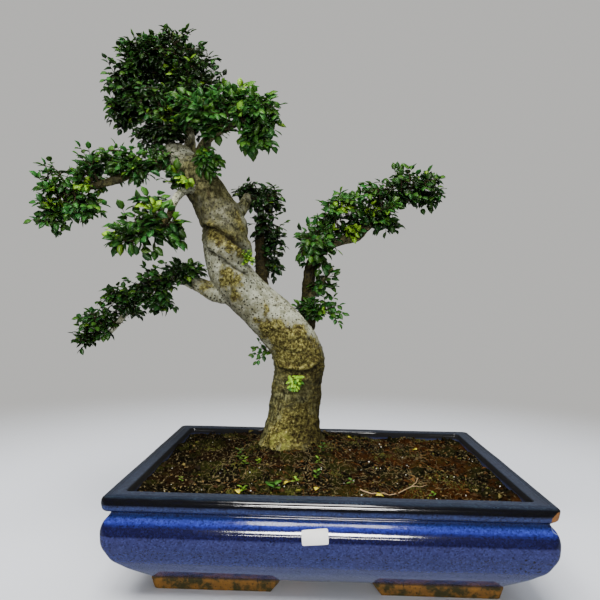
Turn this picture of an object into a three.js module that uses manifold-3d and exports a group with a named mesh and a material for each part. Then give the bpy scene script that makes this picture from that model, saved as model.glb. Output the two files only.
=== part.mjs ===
// Chinese elm bonsai, a leaning S-curved tree in a glazed rectangular pot.
// Millimetres, Z up. The pot stands on the plane Z = 0 and its length runs along X.

import * as THREE from 'three';
import { mergeVertices } from 'three/addons/utils/BufferGeometryUtils.js';
import Module from 'manifold-3d';

const wasm = await Module();
wasm.setup();

// Driving dimensions

const POT_LENGTH = 380;
const POT_WIDTH = 285;
const POT_HEIGHT = 93;
const RIM_CORNER = 5;
const FOOT_HEIGHT = 12;
const FOOT_TAPER = 3;
const FOOT_GAP_FRONT = 81;
const FOOT_GAP_END = 57;
const FOOT_GAP_SPREAD = 9;
const FOOT_RING_WIDTH = 20;
const DRAIN_DIAMETER = 24;
const DRAIN_SPACING = 170;
const SCREEN_SIDE = 44;
const SCREEN_THICKNESS = 1.2;
const SCREEN_OPENINGS = 3;
const SCREEN_BAR_WIDTH = 3;
const LABEL_LENGTH = 22;
const LABEL_HEIGHT = 12;
const LABEL_THICKNESS = 0.6;
const LABEL_CORNER = 1.5;
const LABEL_TILT = 4.5;
const LABEL_CENTRE = [-10.8, 65];
const CLEARANCE = 0.3;

// The pot's middle lies off the origin, so that the whole bonsai is centred on it.
const POT_CENTRE_X = 63;

const LEAF_THICKNESS = 0.8;
const STEM_HALF_WIDTH = 0.9;
const RUNNER_RADIUS = 1.9;
const RUNNER_GAP = 0.1;
const SEED = 4711;

// Glaze, bark and leaf colours

const finish = (color, roughness, metalness = 0) =>
  new THREE.MeshStandardMaterial({ color, roughness, metalness });
const MATERIALS = {
  glaze: finish(0x1d2f7a, 0.15),
  soil: finish(0x3a2a1c, 0.95),
  bark: finish(0x8f8a76, 0.85),
  leaf: finish(0x1f4a1c, 0.5),
  youngLeaf: finish(0x9ccb2c, 0.5),
  screen: finish(0x1c1c1c, 0.6),
  paper: finish(0xf2f2ee, 0.8),
};

// A seeded source of random numbers between 0 and 1

function randomSource(seed) {
  let state = seed >>> 0;
  return () => {
    state = (state + 0x6d2b79f5) >>> 0;
    let t = state;
    t = Math.imul(t ^ (t >>> 15), t | 1);
    t ^= t + Math.imul(t ^ (t >>> 7), t | 61);
    return ((t ^ (t >>> 14)) >>> 0) / 4294967296;
  };
}

const between = (random, low, high) => low + (high - low) * random();
const vector = ([x, y, z]) => new THREE.Vector3(x, y, z);
const lerp = THREE.MathUtils.lerp;
const degrees = THREE.MathUtils.degToRad;

// Solids: joining, cutting and going back to a geometry

function solid(geometry) {
  const bare = geometry.clone();
  bare.deleteAttribute('normal');
  bare.deleteAttribute('uv');
  const merged = mergeVertices(bare, 1e-4);
  return new wasm.Manifold(new wasm.Mesh({
    numProp: 3,
    vertProperties: new Float32Array(merged.attributes.position.array),
    triVerts: new Uint32Array(merged.index.array),
  }));
}

function geometryOf(body) {
  const mesh = body.getMesh();
  const geometry = new THREE.BufferGeometry();
  geometry.setAttribute('position', new THREE.BufferAttribute(new Float32Array(mesh.vertProperties), 3));
  geometry.setIndex(new THREE.BufferAttribute(new Uint32Array(mesh.triVerts), 1));
  return geometry;
}

const joined = (bodies) => bodies.reduce((sum, body) => sum.add(body));

function largestPiece(body) {
  const pieces = body.decompose();
  return pieces.reduce((best, piece) => (piece.volume() > best.volume() ? piece : best));
}

const touches = (a, b) => !a.intersect(b).isEmpty();

// A closed skin over a stack of rings that all have the same number of points

function loft(rings) {
  const count = rings[0].length;
  const last = rings.length - 1;
  const positions = rings.flat().flatMap((point) => point.toArray());
  const centre = (ring) => ring.reduce((sum, point) => sum.add(point), new THREE.Vector3())
    .divideScalar(count).toArray();
  positions.push(...centre(rings[0]), ...centre(rings[last]));
  const startCentre = rings.length * count;
  const index = [];
  for (let i = 0; i < count; i += 1) {
    const next = (i + 1) % count;
    for (let r = 0; r < last; r += 1) {
      const [a, b] = [r * count + i, r * count + next];
      index.push(a, b, b + count, a, b + count, a + count);
    }
    index.push(startCentre, next, i);
    index.push(startCentre + 1, last * count + i, last * count + next);
  }
  const geometry = new THREE.BufferGeometry();
  geometry.setAttribute('position', new THREE.Float32BufferAttribute(positions, 3));
  geometry.setIndex(index);
  return geometry;
}

// The pot: rounded-rectangle rings, each inset from the rim's outline

const CORNER_STEPS = 2;

function potRing(inset, height, corner) {
  const [halfX, halfY] = [POT_LENGTH / 2 - inset, POT_WIDTH / 2 - inset];
  const ring = [];
  for (let quarter = 0; quarter < 4; quarter += 1) {
    const signX = quarter === 0 || quarter === 3 ? 1 : -1;
    const signY = quarter < 2 ? 1 : -1;
    for (let step = 0; step <= CORNER_STEPS; step += 1) {
      const angle = (quarter + step / CORNER_STEPS) * Math.PI / 2;
      ring.push(new THREE.Vector3(
        signX * (halfX - corner) + corner * Math.cos(angle),
        signY * (halfY - corner) + corner * Math.sin(angle),
        height,
      ));
    }
  }
  return ring;
}

// Outside of the pot from the foot up: [inset from the rim's outline, depth below the rim's top]
const OUTSIDE = [
  [32, 81], [28.5, 78], [16.6, 68], [11, 62.5], [5, 56], [1, 48], [-2, 42], [-3, 36], [-3, 30],
  [-1.8, 25.5], [0, 22], [4, 16.8], [4, 14.6], [-1, 12], [-2.5, 7], [-2.5, 3], [-0.8, 0.7], [2, 0],
];
// Inside of the pot from its floor up
const INSIDE = [
  [38, 72], [26, 66], [14, 55], [7, 40], [7, 28], [14.6, 17], [14.6, 1.5], [13.2, 0], [13.2, -30],
];
const FLOOR_HEIGHT = POT_HEIGHT - INSIDE[0][1];

function potBody(profile, grow = 0) {
  return solid(loft(profile.map(([inset, depth]) =>
    potRing(inset - grow, POT_HEIGHT - depth, RIM_CORNER + Math.max(0, -inset) + grow))));
}

function box(sizeX, sizeY, sizeZ, x, y, z) {
  return solid(new THREE.BoxGeometry(sizeX, sizeY, sizeZ).translate(x, y, z));
}

// The gap between two feet: a wedge that is wider at the bottom, right through the foot ring
function footGap(topLength, reach) {
  const below = -1;
  const outline = new THREE.Shape([
    new THREE.Vector2(-topLength / 2, FOOT_HEIGHT),
    new THREE.Vector2(-topLength / 2 - FOOT_GAP_SPREAD, below),
    new THREE.Vector2(topLength / 2 + FOOT_GAP_SPREAD, below),
    new THREE.Vector2(topLength / 2, FOOT_HEIGHT),
  ]);
  const wedge = new THREE.ExtrudeGeometry(outline, { depth: reach, bevelEnabled: false });
  return wedge.translate(0, 0, -reach / 2).rotateX(Math.PI / 2);
}

const DRAIN_PLACES = [-DRAIN_SPACING / 2, DRAIN_SPACING / 2];

function pot() {
  const footInset = OUTSIDE[0][0];
  const foot = solid(loft([
    potRing(footInset + FOOT_TAPER, 0, RIM_CORNER),
    potRing(footInset, FOOT_HEIGHT - FOOT_TAPER, RIM_CORNER),
    potRing(footInset, FOOT_HEIGHT + 1, RIM_CORNER),
  ]));
  const ringInset = footInset + FOOT_RING_WIDTH;
  const hollow = box(POT_LENGTH - 2 * ringInset, POT_WIDTH - 2 * ringInset, 2 * FOOT_HEIGHT, 0, 0, 0);
  let body = potBody(OUTSIDE).add(foot).subtract(hollow)
    .subtract(solid(footGap(FOOT_GAP_FRONT, POT_WIDTH)))
    .subtract(solid(footGap(FOOT_GAP_END, POT_LENGTH).rotateZ(Math.PI / 2)))
    .subtract(potBody(INSIDE));
  const [radius, facets] = [DRAIN_DIAMETER / 2, 20];
  for (const x of DRAIN_PLACES) {
    const drain = new THREE.CylinderGeometry(radius, radius, 2 * FLOOR_HEIGHT, facets);
    body = body.subtract(solid(drain.rotateX(Math.PI / 2).translate(x, 0, FLOOR_HEIGHT)));
  }
  return body;
}

// A drain screen: a square plate with a grid of square openings
function drainScreen(x) {
  const height = FLOOR_HEIGHT + CLEARANCE + SCREEN_THICKNESS / 2;
  let plate = box(SCREEN_SIDE, SCREEN_SIDE, SCREEN_THICKNESS, x, 0, height);
  const pitch = SCREEN_SIDE / SCREEN_OPENINGS;
  const opening = pitch - SCREEN_BAR_WIDTH;
  for (let i = 0; i < SCREEN_OPENINGS; i += 1) {
    for (let j = 0; j < SCREEN_OPENINGS; j += 1) {
      const [u, v] = [i, j].map((k) => (k - (SCREEN_OPENINGS - 1) / 2) * pitch);
      plate = plate.subtract(box(opening, opening, 3 * SCREEN_THICKNESS, x + u, v, height));
    }
  }
  return plate;
}

// The label: a thin skin that follows the pot's bulge, cut to a rounded rectangle
function stockLabel() {
  const skin = potBody(OUTSIDE, CLEARANCE + LABEL_THICKNESS).subtract(potBody(OUTSIDE, CLEARANCE));
  const outline = new THREE.Shape();
  const [w, h, r] = [LABEL_LENGTH / 2, LABEL_HEIGHT / 2, LABEL_CORNER];
  outline.moveTo(-w + r, -h).lineTo(w - r, -h).quadraticCurveTo(w, -h, w, -h + r)
    .lineTo(w, h - r).quadraticCurveTo(w, h, w - r, h)
    .lineTo(-w + r, h).quadraticCurveTo(-w, h, -w, h - r)
    .lineTo(-w, -h + r).quadraticCurveTo(-w, -h, -w + r, -h);
  const reach = 30;
  const cutter = new THREE.ExtrudeGeometry(outline, { depth: reach, bevelEnabled: false, curveSegments: 2 });
  cutter.rotateZ(degrees(LABEL_TILT)).rotateX(Math.PI / 2)
    .translate(LABEL_CENTRE[0], (reach - POT_WIDTH) / 2, LABEL_CENTRE[1]);
  return largestPiece(skin.intersect(solid(cutter)));
}

// The soil: a lumpy mounded field over the pot's cavity

const SOIL_EDGE = 85.5;
const SOIL_COLUMNS = 18;
const SOIL_ROWS = 13;
const SOIL_LUMP = 1.3;
const MOUNDS = [
  { x: -30, y: 36, rise: 19, spreadX: 88, spreadY: 79 },
  { x: 95, y: 10, rise: 4, spreadX: 50, spreadY: 60 },
];

function soilHeight(x, y) {
  const mounds = MOUNDS.map((mound) => mound.rise * Math.exp(
    -(((x - mound.x) / mound.spreadX) ** 2) - ((y - mound.y) / mound.spreadY) ** 2));
  const roll = 1.6 * Math.sin(x / 21 + 1.3) * Math.cos(y / 17) + 1.1 * Math.sin((x + y) / 11);
  return SOIL_EDGE + mounds[0] + mounds[1] + roll;
}

function soilField() {
  const random = randomSource(SEED);
  const [columns, rows] = [SOIL_COLUMNS, SOIL_ROWS];
  const field = new THREE.PlaneGeometry(POT_LENGTH, POT_WIDTH, columns, rows);
  const top = field.attributes.position;
  for (let i = 0; i < top.count; i += 1) {
    const lump = between(random, -SOIL_LUMP, SOIL_LUMP);
    top.setZ(i, soilHeight(top.getX(i), top.getY(i)) + lump);
  }
  const rings = [];
  const width = columns + 1;
  for (let row = 0; row <= rows; row += 1) {
    const ring = [];
    for (let column = 0; column < width; column += 1) {
      ring.push(new THREE.Vector3().fromBufferAttribute(top, row * width + column));
    }
    const [first, last] = [ring[0], ring[width - 1]];
    ring.push(new THREE.Vector3(last.x, last.y, 0), new THREE.Vector3(first.x, first.y, 0));
    rings.push(ring);
  }
  return solid(loft(rings.reverse()));
}

// Limbs of the tree: points along the axis, each [x, y, z, radius], swept with a round section

function limbAxis(points) {
  const curve = new THREE.CatmullRomCurve3(points.map(vector), false, 'centripetal');
  const radiusAt = (t) => {
    const place = t * (points.length - 1);
    const low = Math.min(points.length - 2, Math.floor(place));
    return lerp(points[low][3], points[low + 1][3], place - low);
  };
  return { pointAt: (t) => curve.getPoint(t), tangentAt: (t) => curve.getTangent(t), radiusAt };
}

// relief(t, angle) swells or folds the section; grow makes the whole limb fatter
function limb(points, { sides = 7, stations, grow = 0, relief = () => 0 }) {
  const axis = limbAxis(points);
  let side = new THREE.Vector3(1, 0, 0);
  const rings = stations.map((t) => {
    const along = axis.tangentAt(t);
    side = side.clone().addScaledVector(along, -side.dot(along)).normalize();
    const across = along.clone().cross(side);
    return Array.from({ length: sides }, (_, k) => {
      const angle = k / sides * 2 * Math.PI;
      const reach = axis.radiusAt(t) * (1 + relief(t, angle)) + grow;
      return axis.pointAt(t)
        .addScaledVector(side, reach * Math.cos(angle))
        .addScaledVector(across, reach * Math.sin(angle));
    });
  });
  return solid(loft(rings));
}

// Shares of a limb's length from one place to another in even steps, both ends included
const evenStations = (from, to, steps) =>
  Array.from({ length: steps + 1 }, (_, step) => lerp(from, to, step / steps));

// The trunk leans to the left in an S, thick all the way, and ends in a blunt cut knob
const TRUNK = [
  [-38, 38, 62, 33], [-38, 38, 84, 38], [-38, 38, 98, 37], [-38, 38, 107, 34.5], [-37, 38, 120, 30.5],
  [-36, 38, 138, 28], [-34, 36, 165, 27], [-32, 32, 190, 27], [-38, 28, 213, 27], [-56, 22, 236, 26],
  [-78, 16, 257, 24], [-97, 10, 275, 23.5], [-109, 5, 294, 23], [-112, 2, 316, 25], [-114, 0, 336, 25],
  [-121, -2, 354, 23], [-130, -3, 370, 20.5], [-140, -4, 385, 19], [-154, -3, 401, 18],
  [-168, 0, 415, 16.5], [-177, 2, 424, 13.5], [-182, 3, 429, 7],
];

// Rings are close together only where the trunk folds
const TRUNK_STATIONS = [
  ...evenStations(0, 0.53, 16), ...evenStations(0.545, 0.69, 12), ...evenStations(0.72, 1, 9),
];

// Shallow flutes all the way, and above the middle a fold that winds round like an overlapping
// collar: a ridge with a groove below it, lower on the right than on the left
function trunkRelief(t, angle) {
  const hump = (place, width) => Math.exp(-(((t - place) / width) ** 2));
  const flutes = 0.03 * Math.sin(3 * angle + 9 * t) + 0.022 * Math.sin(5 * angle - 14 * t + 1);
  const ridgePlace = 0.632 - 0.022 * Math.cos(angle);
  const rightSide = 0.55 + 0.45 * Math.cos(angle);
  const ridge = 0.15 * hump(ridgePlace, 0.016) * rightSide;
  const groove = -0.13 * hump(ridgePlace - 0.036, 0.013) * rightSide;
  const upperGroove = -0.06 * hump(ridgePlace + 0.04, 0.012);
  const knee = 0.06 * hump(0.345, 0.035) * Math.max(0, Math.cos(angle));
  return flutes + ridge + groove + upperGroove + knee;
}

const BOUGHS = {
  lowerLeft: [
    [-100, 14, 272, 11], [-118, 9, 267, 10.5], [-140, 6, 276, 7.7], [-158, 6, 283, 6.6],
    [-176, 8, 286, 5.6], [-192, 12, 283, 4.8], [-204, 16, 273, 4.5], [-216, 20, 263, 3.9],
    [-235, 28, 240, 3.4], [-252, 34, 222, 2.9], [-268, 38, 212, 2],
  ],
  middleLeft: [
    [-140, -6, 382, 6], [-150, -24, 378, 5], [-158, -44, 364, 4.2], [-162, -60, 340, 3.5],
    [-172, -68, 326, 2.8], [-186, -74, 318, 2.3], [-199, -78, 316, 1.8],
  ],
  upperLeft: [
    [-160, 4, 408, 9], [-174, -2, 411, 8.2], [-191, -10, 408, 6.6], [-207, -18, 399, 5.5],
    [-223, -24, 388, 4.7], [-243, -28, 381, 3.8], [-265, -32, 373, 3], [-284, -36, 365, 2],
  ],
  crownLeft: [
    [-168, 2, 414, 7], [-178, 6, 434, 5.6], [-192, 12, 455, 4.6], [-208, 18, 478, 3.8],
    [-222, 22, 502, 3.2], [-226, 24, 524, 2.6],
    [-220, 26, 542, 1.8],
  ],
  crownMiddle: [
    [-158, 2, 404, 9], [-157, 8, 428, 7], [-160, 14, 452, 5.4], [-168, 20, 478, 4.2],
    [-176, 26, 504, 3.4], [-180, 30, 528, 2.6],
    [-184, 32, 548, 1.8],
  ],
  crownBack: [
    [-152, 4, 400, 7], [-146, 22, 424, 6], [-144, 40, 448, 5], [-148, 54, 472, 4],
    [-154, 62, 496, 3], [-158, 66, 514, 2],
  ],
  crownRight: [
    [-146, -4, 396, 7], [-139, -14, 422, 6], [-128, -24, 434, 5], [-110, -32, 440, 4],
    [-90, -38, 446, 3], [-76, -42, 450, 2],
  ],
  back: [
    [-80, 12, 262, 9], [-77, 30, 268, 8], [-77, 48, 284, 7], [-80, 62, 304, 6.4], [-83, 71, 325, 6],
    [-84, 76, 347, 5.4], [-83, 80, 367, 4.4], [-85, 82, 384, 3.2], [-88, 82, 396, 2.2],
  ],
  sideStub: [[-112, 2, 344, 8], [-101, 8, 358, 7.2], [-95, 15, 371, 6], [-93, 22, 381, 4.6]],
  right: [
    [-40, 32, 208, 11], [-23, 46, 234, 8.6], [-22, 52, 254, 7.4], [-23, 55, 275, 7.1],
    [-21, 55, 297, 6.7], [-14, 52, 315, 6], [0, 50, 327, 5.4], [16, 48, 334, 5.1],
    [34, 48, 339, 4.8], [47, 50, 352, 4.5], [61, 54, 366, 4.2], [78, 58, 377, 3.7],
    [98, 62, 388, 3.1], [113, 66, 394, 2.2],
  ],
  rightTwig: [[-22, 52, 262, 4], [-11, 46, 278, 3], [-2, 42, 291, 2.5], [6, 39, 301, 1.8]],
};

// Low flares where the roots leave the trunk's base, and their points: [reach, height, radius]
const ROOT_HEADINGS = [12, 110, 205, 290];
const ROOT_FLARE = [[10, 106, 12], [26, 95, 13], [39, 84, 10], [46, 74, 6]];

function rootFlare(heading) {
  const [cx, cy] = TRUNK[1];
  const [cosine, sine] = [Math.cos(degrees(heading)), Math.sin(degrees(heading))];
  return ROOT_FLARE.map(([reach, z, radius]) => [cx + reach * cosine, cy + reach * sine, z, radius]);
}

const THICK_BOUGH = 7.5;
const boughSides = (points) => (points[0][3] > THICK_BOUGH ? 7 : 6);

function treeWood(grow = 0) {
  const trunk = limb(TRUNK, { sides: 15, stations: TRUNK_STATIONS, grow, relief: trunkRelief });
  const boughs = Object.values(BOUGHS).map((points) =>
    limb(points, { sides: boughSides(points), stations: evenStations(0, 1, points.length - 1), grow }));
  const roots = ROOT_HEADINGS.map((heading) =>
    limb(rootFlare(heading), { sides: 5, stations: evenStations(0, 1, 3), grow }));
  return joined([trunk, ...boughs, ...roots]);
}

// A leafy twig is one thin plate cut to its stem and leaves, folded along the stem and arched.
// Half of its outline runs along one side of the stem: leaf after leaf, then half of the end leaf.
function halfOutline({ length, leafLength, leafWidth, firstLeaf, random }) {
  const outline = [[0, STEM_HALF_WIDTH]];
  const endLeaf = length - 0.95 * leafLength;
  const pitch = 1.3 * leafWidth;
  for (let x = firstLeaf; x < endLeaf - 0.62 * leafWidth; x += pitch) {
    const heading = degrees(between(random, 44, 57));
    const size = between(random, 0.86, 1.06);
    const [cosine, sine] = [Math.cos(heading), Math.sin(heading)];
    const at = (along, out) => [
      x + size * (leafLength * along * cosine - leafWidth * out * sine),
      STEM_HALF_WIDTH + size * (leafLength * along * sine + leafWidth * out * cosine),
    ];
    outline.push([x, STEM_HALF_WIDTH], at(0.34, 0.46), at(0.74, 0.36), at(1, 0), at(0.5, -0.5));
    outline.push([x + 2 * STEM_HALF_WIDTH, STEM_HALF_WIDTH]);
  }
  outline.push(
    [endLeaf, STEM_HALF_WIDTH],
    [endLeaf + 0.35 * leafLength, 0.47 * leafWidth],
    [endLeaf + 0.75 * leafLength, 0.36 * leafWidth],
  );
  return outline;
}

const RIB_STEPS = 2;

// The plate from its two half outlines: both faces are split into triangles alike
function twigPlate({ length, outlines, fold, arch, thickness }) {
  const positions = [];
  const rise = ([x, y]) => fold * Math.abs(y) - arch * x * x / length;
  const corner = (point, face) =>
    positions.push(point[0], point[1], rise(point) + face * thickness / 2);
  outlines.forEach((outline, half) => {
    const mirror = half === 0 ? 1 : -1;
    const rib = evenStations(0, length, RIB_STEPS).map((x) => [x, 0]);
    const contour = [...rib, ...outline.slice().reverse()].map(([x, y]) => [x, mirror * y]);
    const flat = contour.map(([x, y]) => new THREE.Vector2(x, mirror * y));
    const turn = mirror > 0 ? [0, 1, 2] : [2, 1, 0];
    for (const face of THREE.ShapeUtils.triangulateShape(flat, [])) {
      turn.forEach((k) => corner(contour[face[k]], 1));
      turn.toReversed().forEach((k) => corner(contour[face[k]], -1));
    }
    for (let i = RIB_STEPS; i < contour.length; i += 1) {
      const ends = [contour[i], contour[(i + 1) % contour.length]];
      const [a, b] = mirror > 0 ? ends : ends.toReversed();
      corner(a, -1);
      corner(b, -1);
      corner(b, 1);
      corner(a, -1);
      corner(b, 1);
      corner(a, 1);
    }
  });
  const geometry = new THREE.BufferGeometry();
  geometry.setAttribute('position', new THREE.Float32BufferAttribute(positions, 3));
  return geometry;
}

// Puts a twig at a place, pointing along heading with its upper face towards up
function placedTwig(plate, place, heading, up) {
  const x = heading.clone().normalize();
  const z = up.clone().addScaledVector(x, -up.dot(x)).normalize();
  const y = z.clone().cross(x);
  return solid(plate.applyMatrix4(new THREE.Matrix4().makeBasis(x, y, z).setPosition(place)));
}

// Foliage sprays. Each one sits on a bough: a slim runner lies along the bough on the side given,
// from one share of its length to another, and leafy twigs reach from it to the skin of each lobe.
// A lobe is [x, y, z, half size in x, y and z, number of twigs].
const SPRAYS = {
  spray_crown_left: {
    bough: 'crownLeft', from: 0.36, to: 1, side: [-1, -0.6, 0.4], leaf: [23, 14.5],
    lobes: [
      [-226, 24, 512, 34, 46, 38, 8], [-208, 26, 550, 36, 40, 28, 6], [-228, 14, 474, 30, 36, 26, 4],
    ],
  },
  spray_crown_middle: {
    bough: 'crownMiddle', from: 0.36, to: 1, side: [1, -1, 0.4], leaf: [23, 14.5],
    lobes: [
      [-174, 28, 550, 42, 42, 30, 8], [-152, 16, 512, 36, 40, 36, 7], [-178, 0, 468, 38, 38, 22, 4],
    ],
  },
  spray_crown_back: {
    bough: 'crownBack', from: 0.4, to: 1, side: [0, 1, 0.5], leaf: [22, 14],
    lobes: [[-162, 62, 514, 44, 30, 36, 6], [-146, 58, 478, 32, 32, 26, 3]],
  },
  spray_crown_right: {
    bough: 'crownRight', from: 0.3, to: 1, side: [0, -0.4, 1], leaf: [23, 14.5],
    lobes: [
      [-134, -30, 450, 34, 34, 24, 4], [-100, -40, 450, 40, 38, 28, 8], [-74, -42, 445, 26, 30, 22, 3],
    ],
  },
  spray_upper_left: {
    bough: 'upperLeft', from: 0.25, to: 1, side: [0, -0.3, 1], leaf: [23, 14.5],
    lobes: [
      [-212, -12, 410, 30, 28, 15, 2], [-242, -22, 396, 30, 34, 24, 4], [-272, -30, 384, 30, 36, 28, 4],
      [-292, -36, 360, 28, 34, 28, 3], [-268, -34, 346, 34, 30, 22, 3], [-306, -36, 362, 12, 14, 18, 2],
    ],
  },
  spray_middle_left: {
    bough: 'middleLeft', from: 0.3, to: 1, side: [-0.5, -0.6, 0.8], leaf: [24, 15],
    lobes: [
      [-166, -54, 362, 26, 24, 20, 2], [-190, -68, 345, 28, 28, 20, 3], [-200, -76, 322, 28, 28, 22, 4],
      [-164, -72, 318, 28, 26, 22, 3],
    ],
  },
  spray_lower_left: {
    bough: 'lowerLeft', from: 0.28, to: 1, side: [0, -0.2, 1], leaf: [23, 14.5],
    lobes: [
      [-160, 8, 296, 26, 28, 13, 3], [-190, 12, 286, 28, 30, 18, 3], [-216, 18, 266, 30, 32, 24, 3],
      [-246, 30, 244, 30, 30, 26, 4], [-274, 36, 218, 26, 28, 20, 4],
    ],
  },
  spray_back: {
    bough: 'back', from: 0.42, to: 1, side: [1, 0.6, 0.2], leaf: [22, 14],
    lobes: [
      [-92, 82, 386, 36, 36, 26, 5], [-72, 86, 350, 28, 34, 26, 4], [-70, 86, 312, 22, 30, 26, 3],
    ],
  },
  spray_right_lower: {
    bough: 'right', from: 0.2, to: 0.5, side: [-0.7, -0.7, 0.3], leaf: [22, 14],
    lobes: [[-12, 46, 322, 30, 36, 28, 6], [-8, 44, 286, 24, 26, 22, 3]],
  },
  spray_right_middle: {
    bough: 'right', from: 0.54, to: 0.77, side: [0, -0.5, 1], leaf: [22, 14],
    lobes: [[18, 48, 362, 34, 34, 30, 5], [48, 50, 382, 34, 34, 30, 5]],
  },
  spray_right_end: {
    bough: 'right', from: 0.8, to: 1, side: [0, -0.3, 1], leaf: [22, 14],
    lobes: [
      [84, 56, 398, 32, 34, 30, 3], [108, 62, 400, 28, 30, 30, 4], [126, 64, 396, 14, 18, 22, 2],
    ],
  },
};

// Shoots straight from the trunk: the place they root in, where they point, leaf size and colour
const SHOOTS = {
  shoot_base_bright: { start: [-42, 11, 182], tip: [-25, -14, 165], leaf: [15, 9], young: true },
  shoot_base_dark: { start: [-54, 26, 197], tip: [-80, 16, 208], leaf: [12, 8], young: false },
  shoot_fold_bright: { start: [-95, -3, 300], tip: [-82, -29, 308], leaf: [12, 7], young: true },
  shoot_top_bright: { start: [-147, -20, 390], tip: [-150, -44, 380], leaf: [14, 8], young: true },
  shoot_top_right: { start: [-140, -10, 392], tip: [-114, -28, 408], leaf: [17, 10], young: false },
  shoot_right_foot: { start: [-20, 48, 238], tip: [14, 38, 258], leaf: [17, 10], young: false },
};

// Grows every spray and shoot clear of the wood and of the others
class Foliage {
  constructor(wood, fatWood) {
    this.fatWood = fatWood;
    this.others = wood;
    this.random = randomSource(SEED + 1);
  }

  // One twig, or null where it would cross what is already there
  twig(start, tip, leaf, { rooted = false, spray = [] } = {}) {
    const { random } = this;
    const heading = tip.clone().sub(start);
    const length = heading.length();
    const [leafLength, leafWidth] = leaf;
    const firstLeaf = Math.max(7, length - 2.3 * leafLength);
    const outlines = [0, 0.65 * leafWidth].map((offset) => halfOutline({
      length, leafLength, leafWidth, firstLeaf: firstLeaf + offset, random,
    }));
    const form = {
      length, outlines, fold: between(random, 0.12, 0.35), arch: between(random, 0.02, 0.2),
    };
    const up = new THREE.Vector3(between(random, -1.2, 1.2), between(random, -2.2, 1.2), 0.9);
    const plate = (thickness) => placedTwig(twigPlate({ ...form, thickness }), start, heading, up);
    const room = plate(LEAF_THICKNESS + 2 * CLEARANCE);
    const blocked = rooted ? false : touches(room, this.others);
    return blocked || spray.some((other) => touches(room, other)) ? null : plate(LEAF_THICKNESS);
  }

  keep(parts) {
    const body = largestPiece(joined(parts).subtract(this.fatWood));
    this.others = this.others.add(body);
    return body;
  }

  spray({ bough, from, to, side, leaf, lobes }) {
    const axis = limbAxis(BOUGHS[bough]);
    const offsetAt = (t) => {
      const along = axis.tangentAt(t);
      const outward = vector(side);
      return outward.addScaledVector(along, -outward.dot(along))
        .setLength(axis.radiusAt(t) + RUNNER_RADIUS + RUNNER_GAP);
    };
    const steps = Math.ceil((to - from) * BOUGHS[bough].length);
    const runnerAt = (t) => axis.pointAt(t).add(offsetAt(t));
    const runnerPoints = evenStations(from, to, steps).map((t) => [...runnerAt(t).toArray(), RUNNER_RADIUS]);
    const runner = limb(runnerPoints, { sides: 4, stations: evenStations(0, 1, steps) });
    const twigs = [];
    for (const [x, y, z, halfX, halfY, halfZ, count] of lobes) {
      for (let i = 0; i < count; i += 1) {
        const lobe = { centre: [x, y, z], half: [halfX, halfY, halfZ], share: (i + 0.5) / count };
        const twig = this.twigInLobe(lobe, { runnerAt, from, to, leaf, twigs });
        if (twig) {
          twigs.push(twig);
        }
      }
    }
    return this.keep([runner, ...twigs]);
  }

  // Twig tips are spread over a lobe by the golden angle; a blocked twig tries other places
  twigInLobe({ centre, half, share }, { runnerAt, from, to, leaf, twigs }) {
    const golden = Math.PI * (3 - Math.sqrt(5));
    for (let attempt = 0; attempt < 24; attempt += 1) {
      const height = lerp(-0.7, 0.95, share) + between(this.random, -0.15, 0.15);
      const around = golden * (share * 29 + attempt * 1.7) + between(this.random, -0.4, 0.4);
      const level = Math.sqrt(Math.max(0.05, 1 - height * height));
      const tip = vector([
        centre[0] + half[0] * level * Math.cos(around),
        centre[1] + half[1] * level * Math.sin(around),
        centre[2] + half[2] * Math.min(1, height),
      ]);
      const nearest = evenStations(from, to, 12)
        .reduce((best, t) => (runnerAt(t).distanceTo(tip) < runnerAt(best).distanceTo(tip) ? t : best));
      const start = runnerAt(Math.max(from, nearest - between(this.random, 0, 0.3) * (to - from)));
      if (start.distanceTo(tip) > 1.15 * leaf[0]) {
        const twig = this.twig(start, tip, leaf, { spray: twigs });
        if (twig) {
          return twig;
        }
      }
    }
    return null;
  }

  shoot({ start, tip, leaf }) {
    return this.keep([this.twig(vector(start), vector(tip), leaf, { rooted: true })]);
  }
}

// Assembly

const bonsai = new THREE.Group();
bonsai.position.x = POT_CENTRE_X;

function add(name, body, material) {
  const mesh = new THREE.Mesh(geometryOf(body), material);
  mesh.name = name;
  bonsai.add(mesh);
}

const wood = treeWood();
const fatWood = treeWood(CLEARANCE + 0.1);

add('pot', pot(), MATERIALS.glaze);
add('stock_label', stockLabel(), MATERIALS.paper);

const screens = { drain_screen_left: DRAIN_PLACES[0], drain_screen_right: DRAIN_PLACES[1] };
let soil = potBody(INSIDE, -CLEARANCE).intersect(soilField()).subtract(fatWood);
for (const [name, x] of Object.entries(screens)) {
  add(name, drainScreen(x), MATERIALS.screen);
  const recess = SCREEN_SIDE + 2 * CLEARANCE;
  const recessHeight = SCREEN_THICKNESS + 2 * CLEARANCE;
  soil = soil.subtract(box(recess, recess, 2 * recessHeight, x, 0, FLOOR_HEIGHT));
}
add('soil', largestPiece(soil), MATERIALS.soil);
add('tree_wood', wood, MATERIALS.bark);

const foliage = new Foliage(wood, fatWood);
for (const [name, shoot] of Object.entries(SHOOTS)) {
  add(name, foliage.shoot(shoot), shoot.young ? MATERIALS.youngLeaf : MATERIALS.leaf);
}
for (const [name, spray] of Object.entries(SPRAYS)) {
  add(name, foliage.spray(spray), MATERIALS.leaf);
}

export default bonsai;
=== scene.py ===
"""The looks of a Chinese elm bonsai in a glazed pot.

Everything is modelled in millimetres in the pot's own frame: the pot's middle is the origin, the
plane that its feet stand on is Z = 0 and the labelled side faces -Y. A finished piece is scaled to
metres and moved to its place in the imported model's frame.
"""

import logging
import math
import random
from collections.abc import Callable, Iterable, Sequence
from dataclasses import dataclass, field
from enum import Enum
from functools import cached_property

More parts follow.
